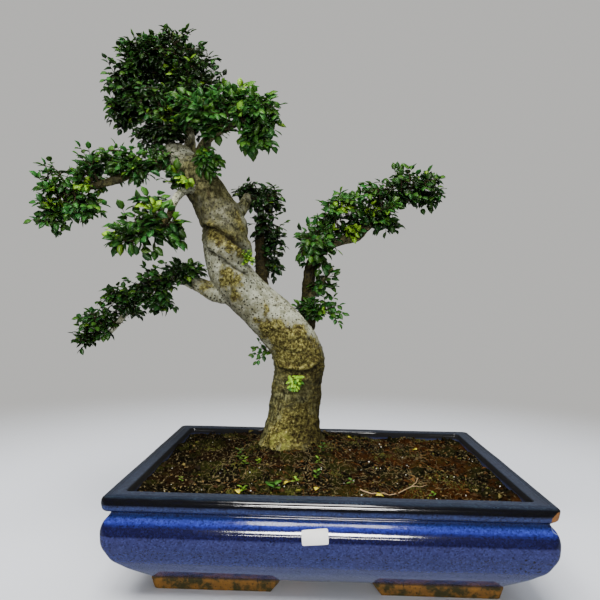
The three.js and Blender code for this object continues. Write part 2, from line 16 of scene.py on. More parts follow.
import bmesh
import bpy
from bmesh.types import BMesh, BMVert
from bpy.types import ID, Material, Mesh, Node, NodeSocket, Object, World
from mathutils import Matrix, Vector, noise
from mathutils.bvhtree import BVHTree
from mathutils.kdtree import KDTree


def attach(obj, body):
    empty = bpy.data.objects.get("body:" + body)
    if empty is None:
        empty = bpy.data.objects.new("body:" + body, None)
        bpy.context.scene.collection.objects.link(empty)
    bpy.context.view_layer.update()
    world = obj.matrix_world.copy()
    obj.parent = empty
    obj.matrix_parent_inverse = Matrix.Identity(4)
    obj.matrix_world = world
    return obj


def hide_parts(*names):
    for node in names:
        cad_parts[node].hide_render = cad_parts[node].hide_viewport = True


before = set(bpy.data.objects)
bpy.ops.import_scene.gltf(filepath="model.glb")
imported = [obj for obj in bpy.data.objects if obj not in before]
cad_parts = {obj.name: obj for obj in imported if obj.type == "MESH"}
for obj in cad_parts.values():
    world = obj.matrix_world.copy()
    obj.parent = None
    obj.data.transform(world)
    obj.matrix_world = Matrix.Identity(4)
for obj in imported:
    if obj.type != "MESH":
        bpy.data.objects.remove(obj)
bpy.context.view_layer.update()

LOG = logging.getLogger("bonsai")
SEED = 4711
MM = 0.001
POT_CENTRE_X = 63.0
POT_LENGTH = 380.0
POT_WIDTH = 285.0
POT_HEIGHT = 93.0
RIM_CORNER = 5.0
FOOT_HEIGHT = 12.0
TO_SCENE = Matrix.Translation((POT_CENTRE_X * MM, 0.0, 0.0)) @ Matrix.Scale(MM, 4)

Colour = tuple[float, float, float]
Point = tuple[float, float, float]
Line = list[tuple[Vector, float]]


class Slot(Enum):
    """The record's material slots."""

    GLAZE = "glaze"
    SOIL = "soil"
    BARK = "bark"
    LEAF = "leaf"
    YOUNG_LEAF = "young_leaf"
    PAPER = "paper"


# Finishes


class Graph:
    """A material or a world, and the few kinds of node that the finishes are made of."""

    def __init__(self, name: str, world: World | None = None) -> None:
        """Starts a graph.

        Args:
            name: the new material's name.
            world: the world to work on in place of a new material.
        """
        self.material = world or bpy.data.materials.new(name)
        self.material.use_nodes = True
        self.nodes = self.material.node_tree.nodes
        self.links = self.material.node_tree.links

    def first(self, kind: str) -> Node:
        """The first node of a type."""
        return next(node for node in self.nodes if node.type == kind)

    def add(self, kind: str, inputs: dict[int | str, object], **settings: object) -> Node:
        """Adds a node.

        Args:
            kind: the node's type name.
            inputs: a value or another node's socket for each input.
            settings: the node's own properties.

        Returns:
            The new node.
        """
        node = self.nodes.new(kind)
        for key, value in settings.items():
            setattr(node, key, value)
        for key, value in inputs.items():
            self.feed(node.inputs[key], value)
        return node

    def feed(self, socket: NodeSocket, value: object) -> None:
        """Sets an input to a value, or links it to another socket.

        Args:
            socket: the input.
            value: a number, a vector, a colour or another node's socket.
        """
        if isinstance(value, NodeSocket):
            self.links.new(value, socket)
        elif isinstance(value, tuple) and len(value) == 3 and socket.type == "RGBA":
            socket.default_value = (*value, 1.0)
        else:
            socket.default_value = value

    def place(self) -> NodeSocket:
        """The surface point in millimetres in the pot's frame.

        Returns:
            The point's socket.
        """
        coordinates = self.add("ShaderNodeTexCoord", {}).outputs["Object"]
        mapping = {"Vector": coordinates, "Location": (-POT_CENTRE_X, 0.0, 0.0), "Scale": (1 / MM,) * 3}
        return self.add("ShaderNodeMapping", mapping).outputs["Vector"]

    def axis(self, vector: NodeSocket, index: int) -> NodeSocket:
        """One coordinate of a vector."""
        return self.add("ShaderNodeSeparateXYZ", {"Vector": vector}).outputs[index]

    def stretched(self, vector: NodeSocket, scale: Point) -> NodeSocket:
        """A vector scaled along its axes."""
        return self.add("ShaderNodeMapping", {"Vector": vector, "Scale": scale}).outputs["Vector"]

    def noise(self, vector: NodeSocket, pitch: float, detail: float = 4.0, rough: float = 0.55) -> NodeSocket:
        """Fractal noise whose largest features are about pitch millimetres apart."""
        inputs = {"Vector": vector, "Scale": 1.0 / pitch, "Detail": detail, "Roughness": rough}
        return self.add("ShaderNodeTexNoise", inputs).outputs["Fac"]

    def cells(self, vector: NodeSocket, pitch: float, feature: str = "F1") -> Node:
        """A Voronoi node with cells of about pitch millimetres."""
        return self.add("ShaderNodeTexVoronoi", {"Vector": vector, "Scale": 1.0 / pitch}, feature=feature)

    def carried(self, name: str) -> NodeSocket:
        """A number that the piece's own mesh carries at each point."""
        return self.add("ShaderNodeAttribute", {}, attribute_name=name).outputs["Fac"]

    def tint(self) -> Sequence[NodeSocket]:
        """The three parts of the tint that the piece's own mesh carries."""
        tint = self.add("ShaderNodeAttribute", {}, attribute_name="tint").outputs["Color"]
        return self.add("ShaderNodeSeparateColor", {"Color": tint}).outputs

    def maths(self, operation: str, a: object, b: object = 0.0, clamp: bool = False) -> NodeSocket:
        """One sum of two numbers."""
        node = self.add("ShaderNodeMath", {0: a, 1: b}, operation=operation, use_clamp=clamp)
        return node.outputs[0]

    def times(self, a: object, b: object) -> NodeSocket:
        """One number times another."""
        return self.maths("MULTIPLY", a, b)

    def plus(self, a: object, b: object) -> NodeSocket:
        """One number and another."""
        return self.maths("ADD", a, b)

    def minus(self, a: object, b: object, clamp: bool = False) -> NodeSocket:
        """One number less another."""
        return self.maths("SUBTRACT", a, b, clamp)

    def between(self, value: NodeSocket, low: float, high: float) -> NodeSocket:
        """Goes smoothly from 0 where the value is low to 1 where it is high.

        Args:
            value: the number.
            low: where it starts.
            high: where it ends; it may be the lower one.

        Returns:
            The share from 0 to 1.
        """
        inputs = {"Value": value, "From Min": low, "From Max": high}
        node = self.add("ShaderNodeMapRange", inputs, interpolation_type="SMOOTHSTEP")
        return node.outputs["Result"]

    def blend(self, share: object, a: object, b: object, mode: str = "MIX") -> NodeSocket:
        """Mixes two colours.

        Args:
            share: how much of the second colour there is.
            a: the first colour.
            b: the second colour.
            mode: Blender's way to mix them.

        Returns:
            The mixed colour.
        """
        node = self.add("ShaderNodeMix", {}, data_type="RGBA", blend_type=mode)
        for index, value in ((0, share), (6, a), (7, b)):
            self.feed(node.inputs[index], value)
        return node.outputs[2]

    def tinted(self, base: NodeSocket, colour: Colour) -> NodeSocket:
        """A colour multiplied by another."""
        return self.blend(1.0, base, colour, "MULTIPLY")

    def over(self, base: NodeSocket, colour: object, mask: NodeSocket, strength: float) -> NodeSocket:
        """Lays a colour over another where a mask is, as strongly as it is given."""
        return self.blend(self.times(mask, strength), base, colour)

    def ramp(self, value: NodeSocket, stops: Sequence[tuple[float, Colour]]) -> NodeSocket:
        """A colour for each value, from a few stops.

        Args:
            value: the number.
            stops: places from 0 to 1 with their colours.

        Returns:
            The colour.
        """
        node = self.add("ShaderNodeValToRGB", {"Fac": value})
        elements = node.color_ramp.elements
        while len(elements) < len(stops):
            elements.new(0.5)
        for element, (position, colour) in zip(elements, stops):
            element.position = position
            element.color = (*colour, 1.0)
        return node.outputs["Color"]

    def near(self, place: NodeSocket, centre: Point, reach: float) -> NodeSocket:
        """1 at a point, falling to 0 at a distance of reach.

        Args:
            place: the surface point.
            centre: the point.
            reach: the distance.

        Returns:
            The share from 0 to 1.
        """
        distance = self.add(
            "ShaderNodeVectorMath", {0: place, 1: centre}, operation="DISTANCE"
        ).outputs["Value"]
        return self.between(distance, reach, 0.45 * reach)

    def bump(
        self, height: NodeSocket, strength: float, depth: float, normal: NodeSocket | None = None
    ) -> NodeSocket:
        """A bump of so many millimetres, over another one if it is given.

        Args:
            height: the height from 0 to 1.
            strength: its strength.
            depth: the height of 1 in millimetres.
            normal: the bump under it.

        Returns:
            The bumped normal.
        """
        inputs = {"Height": height, "Strength": strength, "Distance": depth * MM}
        if normal is not None:
            inputs["Normal"] = normal
        return self.add("ShaderNodeBump", inputs).outputs["Normal"]

    def finish(
        self, colour: object, rough: object, normal: NodeSocket | None = None, **constants: float
    ) -> Material:
        """Feeds the shader.

        Args:
            colour: the base colour.
            rough: the roughness.
            normal: the bumped normal, if there is one.
            constants: other inputs of the shader, with underscores for spaces.

        Returns:
            The finished material.
        """
        inputs = self.first("BSDF_PRINCIPLED").inputs
        self.feed(inputs["Base Color"], colour)
        self.feed(inputs["Roughness"], rough)
        if normal is not None:
            self.feed(inputs["Normal"], normal)
        for key, value in constants.items():
            inputs[key.replace("_", " ")].default_value = value
        return self.material


@dataclass(frozen=True)
class Glaze:
    """Cobalt glaze striped by height: black on edges, bright below the neck, with painted reflections laid
    into the stripes.
    """

    chip: Point = (188.5, -142.0, 83.8)
    chip_reach: float = 8.0
    blister: Point = (187.9, -137.7, 72.9)
    clay: Colour = (0.34, 0.12, 0.0)
    # Heights in millimetres with their colours. From 14 to 59.4 mm the lighter slate-blue is partly glaze,
    # partly a painted reflection of a pale table; from 61 to 67.4 mm the near-black navy is partly glaze,
    # partly a painted reflection of a dark room; from 69.4 to 76 mm the bright cobalt is partly glaze, partly
    # a painted reflection of the ceiling.
    glaze_and_reflection_bands: tuple[tuple[float, Colour], ...] = (
        (11.0, (0.08, 0.035, 0.015)), (12.6, (0.010, 0.011, 0.030)), (14.0, (0.032, 0.036, 0.115)),
        (24.0, (0.029, 0.034, 0.115)), (46.0, (0.022, 0.025, 0.100)), (59.4, (0.022, 0.024, 0.100)),
        (61.0, (0.006, 0.006, 0.038)), (67.4, (0.005, 0.005, 0.034)), (69.4, (0.008, 0.010, 0.085)),
        (71.4, (0.020, 0.030, 0.25)), (73.8, (0.030, 0.048, 0.34)), (76.0, (0.014, 0.023, 0.12)),
        (78.4, (0.009, 0.014, 0.055)), (79.4, (0.001, 0.001, 0.003)), (81.1, (0.001, 0.001, 0.003)),
        (82.1, (0.018, 0.024, 0.080)),
        (83.6, (0.022, 0.032, 0.11)), (85.0, (0.016, 0.022, 0.07)), (86.8, (0.002, 0.002, 0.003)),
        (91.4, (0.002, 0.002, 0.003)), (92.3, (0.011, 0.016, 0.028)), (93.2, (0.016, 0.022, 0.042)),
    )

    def material(self) -> Material:
        """The glaze over the whole pot, its stripes holding painted reflections as well, with bare clay in
        its chip and underneath.

        Returns:
            The material.
        """
        g = Graph("cobalt_glaze")
        place = g.place()
        wave = g.times(g.minus(g.noise(place, 30.0, 3.0), 0.5), 1.6)
        height = g.plus(g.axis(place, 2), wave)
        low, high = self.glaze_and_reflection_bands[0][0], self.glaze_and_reflection_bands[-1][0]
        share = g.maths("DIVIDE", g.minus(height, low), high - low, clamp=True)
        # The band colours hold painted reflections as well as the glaze's own colour.
        glaze_and_reflections = g.ramp(share, [((z - low) / (high - low), colour) for z, colour in self.glaze_and_reflection_bands])
        cloud = g.between(g.noise(place, 26.0, 5.0, 0.65), 0.40, 1.68)
        clouded = g.blend(cloud, glaze_and_reflections, g.tinted(glaze_and_reflections, (1.5, 0.9, 0.65)))
        grains = g.axis(g.cells(place, 1.25).outputs["Color"], 0)
        bright = g.between(grains, 0.60, 0.98)
        grained = g.over(clouded, g.tinted(clouded, (1.9, 2.2, 1.9)), bright, 0.55)
        dull = g.between(grains, 0.30, 0.05)
        grained = g.over(grained, (0.002, 0.002, 0.010), dull, 0.5)
        right_low = g.times(g.between(g.axis(place, 0), 110.0, 165.0),
                            g.between(g.axis(place, 2), 62.0, 48.0))
        spots = g.between(g.cells(place, 5.2).outputs["Distance"], 0.25, 0.16)
        pits = g.times(spots, right_low)
        grained = g.blend(pits, grained, (0.003, 0.003, 0.004))
        ring = g.maths("ABSOLUTE", g.minus(g.near(place, self.blister, 4.4), 0.45))
        blister = g.between(ring, 0.40, 0.22)
        grained = g.over(grained, (0.30, 0.38, 0.58), blister, 0.5)
        rough_edge = g.times(g.noise(place, 2.0), 0.5)
        bare = g.between(g.plus(g.near(place, self.chip, self.chip_reach), rough_edge), 0.62, 0.72)
        bare = g.maths("MAXIMUM", bare, g.between(height, 12.4, 11.6))
        clay = g.blend(g.noise(place, 3.0), self.clay, (0.12, 0.038, 0.0))
        colour = g.blend(bare, grained, clay)
        top = g.between(g.axis(place, 2), 92.0, 92.8)
        rough = g.plus(g.times(bare, 0.6), g.plus(g.times(top, 0.14), 0.10))
        across = g.minus(g.maths("ABSOLUTE", g.axis(place, 0)), (POT_LENGTH - POT_WIDTH) / 2)
        reach = g.maths("MAXIMUM", across, g.maths("ABSOLUTE", g.axis(place, 1)))
        inner = g.times(g.between(reach, 137.0, 135.0), g.between(height, 62.0, 66.0))
        rough = g.plus(rough, g.times(inner, 0.9))
        orange_peel = g.bump(g.noise(place, 9.0, 2.0), 0.16, 0.5)
        normal = g.bump(g.minus(1.0, pits), 0.5, 0.3, orange_peel)
        return g.finish(colour, rough, normal, Coat_Weight=0.35, Coat_Roughness=0.03, Specular_IOR_Level=0.5)


@dataclass(frozen=True)
class Clay:
    """Bare orange-brown clay with dark and olive stains."""

    def material(self) -> Material:
        """The clay of the feet.

        Returns:
            The material.
        """
        g = Graph("bare_clay")
        place = g.place()
        base = g.blend(g.noise(place, 9.0, 5.0, 0.6), (0.33, 0.145, 0.016), (0.064, 0.034, 0.008))
        stained = g.blend(g.between(g.noise(place, 12.0, 5.0, 0.7), 0.42, 0.58), base, (0.034, 0.031, 0.006))
        specks = g.between(g.noise(place, 2.4, 4.0, 0.7), 0.56, 0.68)
        specked = g.blend(specks, stained, (0.012, 0.010, 0.004))
        # Darker towards the top of the feet, just under the pot's body.
        upper = g.between(g.axis(place, 2), 9.5, 11.8)
        colour = g.over(specked, (0.015, 0.010, 0.008), upper, 0.8)
        return g.finish(colour, 0.72, g.bump(g.noise(place, 1.6, 5.0, 0.7), 0.5, 0.5), Specular_IOR_Level=0.2)


@dataclass(frozen=True)
class Bark:
    """Elm bark: pale with dark pores, or olive-brown, crusted in patches."""

    dark: Colour = (0.020, 0.018, 0.005)
    olive: Colour = (0.265, 0.26, 0.11)
    damp: Colour = (0.080, 0.076, 0.022)
    grey: Colour = (0.19, 0.195, 0.115)
    pale: Colour = (0.56, 0.575, 0.44)
    wash: Colour = (0.17, 0.165, 0.075)
    pore: Colour = (0.026, 0.022, 0.014)
    stain: Colour = (0.060, 0.038, 0.014)
    foot_moss: Colour = (0.42, 0.44, 0.080)
    mossy_foot: Point = (-50.0, 5.0, 107.0)
    crust: tuple[tuple[float, Colour], ...] = (
        (0.36, (0.010, 0.007, 0.002)), (0.46, (0.062, 0.048, 0.010)),
        (0.55, (0.225, 0.205, 0.052)), (0.66, (0.52, 0.49, 0.17)),
    )

    def body(
        self, g: Graph, place: NodeSocket, mottle: NodeSocket, smooth: NodeSocket
    ) -> tuple[NodeSocket, NodeSocket]:
        """Pale bark with pores, and olive-brown bark, mixed by how smooth the wood is.

        Args:
            g: the material.
            place: the surface point.
            mottle: coarse noise.
            smooth: how smooth the bark is.

        Returns:
            The colour, and a mask of the pores.
        """
        grain = g.noise(g.stretched(place, (1.0, 1.0, 0.5)), 3.4, 5.0, 0.68)
        brown = g.blend(g.between(grain, 0.38, 0.63), self.dark, self.olive)
        brown = g.over(brown, self.damp, g.between(mottle, 0.44, 0.60), 0.7)
        light = g.between(g.noise(place, 7.0, 6.0, 0.72), 0.32, 0.62)
        pale = g.blend(light, self.grey, self.pale)
        wash = g.between(g.noise(place, 12.0, 5.0, 0.65), 0.47, 0.64)
        pale = g.over(pale, self.wash, wash, 0.6)
        freckles = g.times(g.between(g.noise(place, 2.4, 3.0, 0.7), 0.56, 0.66), wash)
        pale = g.over(pale, self.stain, freckles, 0.7)
        pores = g.cells(place, 3.1)
        size = g.plus(0.21, g.times(g.axis(pores.outputs["Color"], 1), 0.2))
        dot = g.between(g.minus(pores.outputs["Distance"], size), 0.05, -0.03)
        dots = g.times(dot, g.between(g.axis(pores.outputs["Color"], 0), 0.16, 0.20))
        edge = g.plus(smooth, g.times(g.minus(mottle, 0.5), 1.5))
        body = g.blend(g.between(edge, 0.12, 0.84), brown, pale)
        streaks = g.noise(g.stretched(place, (1.0, 1.0, 0.4)), 4.2, 4.0, 0.7)
        fringe = g.times(g.between(edge, 0.95, 0.6), g.between(streaks, 0.57, 0.66))
        body = g.over(body, self.stain, fringe, 0.75)
        dark = g.times(dots, g.between(smooth, 0.05, 0.4))
        return g.over(body, self.pore, dark, 0.9), dots

    def material(self) -> Material:
        """Bark that reads the wood's own attributes for moss, smoothness, painted shade and the painted shade
        of its creases.

        Returns:
            The material.
        """
        g = Graph("elm_bark")
        place = g.place()
        mottle = g.noise(place, 16.0, 6.0, 0.62)
        smooth = g.carried("smooth")
        body, dots = self.body(g, place, mottle, smooth)
        crust = g.noise(place, 3.4, 6.0, 0.76)
        blotch = g.noise(place, 8.0, 3.0, 0.6)
        moss = g.carried("moss")
        ragged = g.plus(g.minus(crust, 0.5), g.times(g.minus(blotch, 0.5), 1.3))
        moss_share = g.between(g.plus(moss, ragged), 0.26, 0.72)
        brown_crust = g.blend(g.between(blotch, 0.56, 0.68), g.ramp(crust, self.crust), self.stain)
        body = g.blend(moss_share, body, g.blend(0.45, g.ramp(crust, self.crust), brown_crust))
        lines = g.between(g.noise(g.stretched(place, (1.0, 1.0, 3.4)), 10.0, 5.0, 0.6), 0.50, 0.60)
        lines = g.times(lines, g.minus(0.65, smooth, clamp=True))
        body = g.blend(lines, body, g.tinted(body, (0.30, 0.27, 0.18)))
        foot = g.times(g.near(place, self.mossy_foot, 15.0), g.between(blotch, 0.40, 0.56))
        body = g.over(body, g.blend(crust, (0.10, 0.11, 0.02), self.foot_moss), foot, 0.8)
        # Painted shade: the grooves of the folds are darkened nearly to black.
        crease = g.carried("crease")
        body = g.over(body, (0.016, 0.012, 0.005), crease, 0.9)
        # Painted shade: undersides, boughs in the foliage's shadow and the trunk under the crown are
        # darkened.
        shade = g.carried("shade")
        colour = g.blend(shade, body, g.tinted(body, (0.25, 0.21, 0.12)))
        cracks = g.cells(g.stretched(place, (1.0, 1.0, 0.6)), 3.4, "DISTANCE_TO_EDGE").outputs["Distance"]
        crack = g.between(cracks, 0.0, 0.14)
        depth = g.times(crack, g.minus(1.0, smooth, clamp=True))
        normal = g.bump(depth, 0.5, 0.9)
        normal = g.bump(crust, 0.8, 1.6, normal)
        normal = g.bump(g.minus(1.0, dots), 0.35, 0.3, normal)
        rough = g.plus(g.times(moss_share, 0.2), 0.62)
        return g.finish(colour, rough, normal, Specular_IOR_Level=0.15)


@dataclass(frozen=True)
class Leaf:
    """Leaf blades: the tint attribute's red is random tone with painted light and shade, its green youth and
    its blue warmth.
    """

    # Painted shade: the near-black of leaves deep in the foliage.
    dark: Colour = (0.0035, 0.014, 0.0025)
    green: Colour = (0.026, 0.172, 0.030)
    warm: Colour = (0.070, 0.185, 0.012)
    young: Colour = (0.27, 0.52, 0.020)

    def material(self) -> Material:
        """Glossy leaf with a pale rib and side veins from its own UV map.

        Returns:
            The material.
        """
        g = Graph("elm_leaf")
        tone_and_painted_light, youth, warmth = g.tint()
        # The tint's red blends from painted shade to the lit green.
        base = g.blend(tone_and_painted_light, self.dark, g.blend(warmth, self.green, self.warm))
        uv = g.add("ShaderNodeUVMap", {}, uv_map="blade").outputs["UV"]
        across = g.maths("ABSOLUTE", g.minus(g.axis(uv, 1), 0.5))
        rib = g.between(across, 0.045, 0.012)
        slant = g.minus(g.axis(uv, 0), g.times(across, 0.9))
        ridge = g.maths("PINGPONG", g.times(slant, 14.0), 1.0)
        vein = g.maths("MAXIMUM", rib, g.times(g.between(ridge, 0.16, 0.03), 0.55))
        veined = g.over(base, (0.10, 0.20, 0.03), vein, 0.35)
        colour = g.blend(youth, veined, g.over(self.young, (0.46, 0.62, 0.08), vein, 0.4))
        normal = g.bump(g.minus(1.0, vein), 0.5, 0.25)
        return g.finish(colour, 0.34, normal, Specular_IOR_Level=0.42)


@dataclass(frozen=True)
class Earth:
    """Dark crumbly soil with moss and rusty patches."""

    dark: Colour = (0.0006, 0.0005, 0.0002)
    light: Colour = (0.012, 0.009, 0.003)
    rust: Colour = (0.05, 0.016, 0.002)
    moss: Colour = (0.018, 0.020, 0.003)
    grit: Colour = (0.24, 0.19, 0.09)

    def material(self) -> Material:
        """Soil for the ground and its crumbs.

        Returns:
            The material.
        """
        g = Graph("bonsai_soil")
        place = g.place()
        fine = g.noise(place, 2.6, 6.0, 0.72)
        base = g.blend(g.between(fine, 0.42, 0.66), self.dark, self.light)
        flecks = g.axis(g.cells(place, 1.7).outputs["Color"], 0)
        base = g.over(base, self.grit, g.between(flecks, 0.86, 0.99), 0.5)
        patches = g.noise(place, 34.0, 4.0, 0.6)
        right = g.between(g.axis(place, 0), -30.0, 70.0)
        spread = g.plus(g.times(right, 0.6), 0.2)
        rusty = g.times(g.between(patches, 0.46, 0.60), spread)
        base = g.blend(rusty, base, g.blend(fine, self.rust, self.dark))
        green = g.between(g.noise(place, 27.0, 5.0, 0.6), 0.50, 0.60)
        left = g.minus(1.0, g.times(right, 0.55))
        base = g.over(base, self.moss, g.times(green, left), 0.6)
        return g.finish(base, 0.9, g.bump(fine, 0.8, 1.2), Specular_IOR_Level=0.06)


@dataclass(frozen=True)
class Matt:
    """A plain dull surface whose colour wanders between two shades."""

    name: str
    first: Colour
    second: Colour
    pitch: float = 2.0
    rough: float = 0.8

    def material(self) -> Material:
        """The dull surface, with a little grain in it.

        Returns:
            The material.
        """
        g = Graph(self.name)
        place = g.place()
        wander = g.noise(place, self.pitch, 4.0, 0.6)
        colour = g.blend(wander, self.first, self.second)
        return g.finish(colour, self.rough, g.bump(wander, 0.3, 0.2), Specular_IOR_Level=0.2)


# Sums


def clamped(value: float) -> float:
    """A number kept between 0 and 1."""
    return min(1.0, max(0.0, value))


def hump(value: float, middle: float, width: float, power: float = 2) -> float:
    """1 at the middle, and next to nothing a few widths away from it."""
    return math.exp(-(abs((value - middle) / width) ** power))


def random_way(rng: random.Random) -> Vector:
    """A random vector, as likely in every direction."""
    return Vector((rng.gauss(0, 1), rng.gauss(0, 1), rng.gauss(0, 1)))


def seated(place: Vector, turn: Matrix, size: float) -> Matrix:
    """A turned placement at a place, at a size."""
    return Matrix.Translation(place) @ turn @ Matrix.Scale(size, 4)


def point_tree(points: Sequence[Vector]) -> KDTree:
    """Points kept so that the nearest is found fast.

    Args:
        points: the points.

    Returns:
        The tree; it numbers the points in their order.
    """
    tree = KDTree(len(points))
    for number, point in enumerate(points):
        tree.insert(point, number)
    tree.balance()
    return tree


# Mesh work


def meshed(bm: BMesh, name: str) -> Mesh:
    """Turns work into a mesh.

    Args:
        bm: the work; it is used up.
        name: the mesh's name.

    Returns:
        The mesh.
    """
    mesh = bpy.data.meshes.new(name)
    bm.to_mesh(mesh)
    bm.free()
    return mesh


def absorb(bm: BMesh, mesh: Mesh) -> None:
    """Takes a mesh into the work and throws the mesh away."""
    bm.from_mesh(mesh)
    bpy.data.meshes.remove(mesh)


def placed(name: str, data: ID) -> Object:
    """Makes an object and links it to the scene.

    Args:
        name: the object's name.
        data: its mesh, light or camera.

    Returns:
        The object, at the origin.
    """
    thing = bpy.data.objects.new(name, data)
    bpy.context.scene.collection.objects.link(thing)
    return thing


def evaluated(piece: Object) -> Mesh:
    """A new mesh of a piece with its modifiers applied."""
    bpy.context.view_layer.update()
    return bpy.data.meshes.new_from_object(piece.evaluated_get(bpy.context.evaluated_depsgraph_get()))


def ring_walk(verts: Sequence[BMVert]) -> list[BMVert]:
    """The vertices of a loose closed ring, in their order round it.

    Args:
        verts: the ring's vertices in any order.

    Returns:
        The vertices in their order.
    """
    ring = [verts[0]]
    before = None
    while len(ring) < len(verts):
        here = ring[-1]
        following = next(e.other_vert(here) for e in here.link_edges if e.other_vert(here) is not before)
        before = here
        ring.append(following)
    return ring


def ring_edges(bm: BMesh, ring: Sequence[BMVert]) -> list[bmesh.types.BMEdge]:
    """The edges of a closed ring."""
    return [bm.edges.get((ring[k - 1], ring[k])) for k in range(len(ring))]


def swept(bm: BMesh, rings: Iterable[Sequence[Vector]], capped: bool = True) -> None:
    """Draws a circle out from ring to ring.

    Args:
        bm: where the skin is made.
        rings: points of each ring; all rings have the same number.
        capped: closes both ends, or else joins the last ring to the first.
    """
    rings = list(rings)
    made = bmesh.ops.create_circle(bm, segments=len(rings[0]), radius=1.0)["verts"]
    ring = first = ring_walk(made)
    for number, points in enumerate(rings):
        if number:
            drawn = bmesh.ops.extrude_edge_only(bm, edges=ring_edges(bm, ring))["geom"]
            fresh = {v for v in drawn if isinstance(v, BMVert)}
            ring = [next(e.other_vert(v) for e in v.link_edges if e.other_vert(v) in fresh) for v in ring]
        for vert, point in zip(ring, points):
            vert.co = point
    ends = [ring_edges(bm, first), ring_edges(bm, ring)]
    if capped:
        faces = [bmesh.ops.contextual_create(bm, geom=end)["faces"][0] for end in ends]
        bmesh.ops.poke(bm, faces=faces)
    else:
        bmesh.ops.bridge_loops(bm, edges=ends[0] + ends[1])


def shaded(mesh: Mesh, smooth: bool = True) -> Mesh:
    """Sets smooth or flat shading on a mesh."""
    mesh.polygons.foreach_set("use_smooth", [smooth] * len(mesh.polygons))
    return mesh


def finished(
    bm: BMesh, name: str, finishes: Sequence[Material], replaced: str = "", smooth: bool = True
) -> Object:
    """Turns modelled work into a piece of the object.

    Args:
        bm: the work, in millimetres; it is used up.
        name: the piece's name.
        finishes: its materials.
        replaced: the node that it stands for, if any.
        smooth: smooth shading.

    Returns:
        The piece, riding on the one body.
    """
    bm.transform(TO_SCENE)
    mesh = shaded(meshed(bm, name), smooth)
    for finish in finishes:
        mesh.materials.append(finish)
    piece = placed(name, mesh)
    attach(piece, "root")
    if replaced:
        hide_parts(replaced)
    LOG.info("%s: %d faces", name, len(mesh.polygons))
    return piece


def smooth_line(points: Sequence[Sequence[float]], steps: int) -> list[tuple[float, ...]]:
    """A Catmull-Rom line through a few points.

    Args:
        points: the points, each a few numbers.
        steps: steps from one point to the next.

    Returns:
        The finer points, ends included.
    """
    line = []
    for k in range(len(points) - 1):
        a, b = points[max(k - 1, 0)], points[k]
        c, d = points[k + 1], points[min(k + 2, len(points) - 1)]
        for step in range(steps):
            t = step / steps
            line.append(tuple(
                0.5 * (
                    2 * q + (r - p) * t
                    + (2 * p - 5 * q + 4 * r - s) * t * t
                    + (3 * q - p - 3 * r + s) * t ** 3
                )
                for p, q, r, s in zip(a, b, c, d)
            ))
    line.append(tuple(points[-1]))
    return line


@dataclass(frozen=True)
class Axis:
    """A smooth curve through a limb's points, each (x, y, z, radius)."""

    points: tuple[tuple[float, float, float, float], ...]

    def place(self, t: float) -> Vector:
        """The point at a share of the limb's length.

        Args:
            t: the share.

        Returns:
            The point.
        """
        count = len(self.points)
        position = min(max(t, 0.0), 1.0) * (count - 1)
        low = min(int(position), count - 2)
        s = position - low
        knots = [Vector(p[:3]) for p in self.points]
        p1, p2 = knots[low], knots[low + 1]
        p0 = knots[low - 1] if low > 0 else 2 * p1 - p2
        p3 = knots[low + 2] if low + 2 < count else 2 * p2 - p1
        d0, d1, d2 = (math.sqrt((b - a).length) for a, b in ((p0, p1), (p1, p2), (p2, p3)))
        m1 = ((p1 - p0) / d0 - (p2 - p0) / (d0 + d1) + (p2 - p1) / d1) * d1
        m2 = ((p2 - p1) / d1 - (p3 - p1) / (d1 + d2) + (p3 - p2) / d2) * d1
        return p1 + m1 * s + (3 * (p2 - p1) - 2 * m1 - m2) * s ** 2 + (2 * (p1 - p2) + m1 + m2) * s ** 3

    def heading(self, t: float) -> Vector:
        """The direction of growth at a share of the length."""
        return (self.place(min(t + 0.002, 1.0)) - self.place(max(t - 0.002, 0.0))).normalized()

    def radius(self, t: float) -> float:
        """The limb's radius at a share of the length.

        Args:
            t: the share.

        Returns:
            The radius.
        """
        position = min(max(t, 0.0), 1.0) * (len(self.points) - 1)
        low = min(int(position), len(self.points) - 2)
        a, b = self.points[low][3], self.points[low + 1][3]
        return a + (b - a) * (position - low)


# Pot


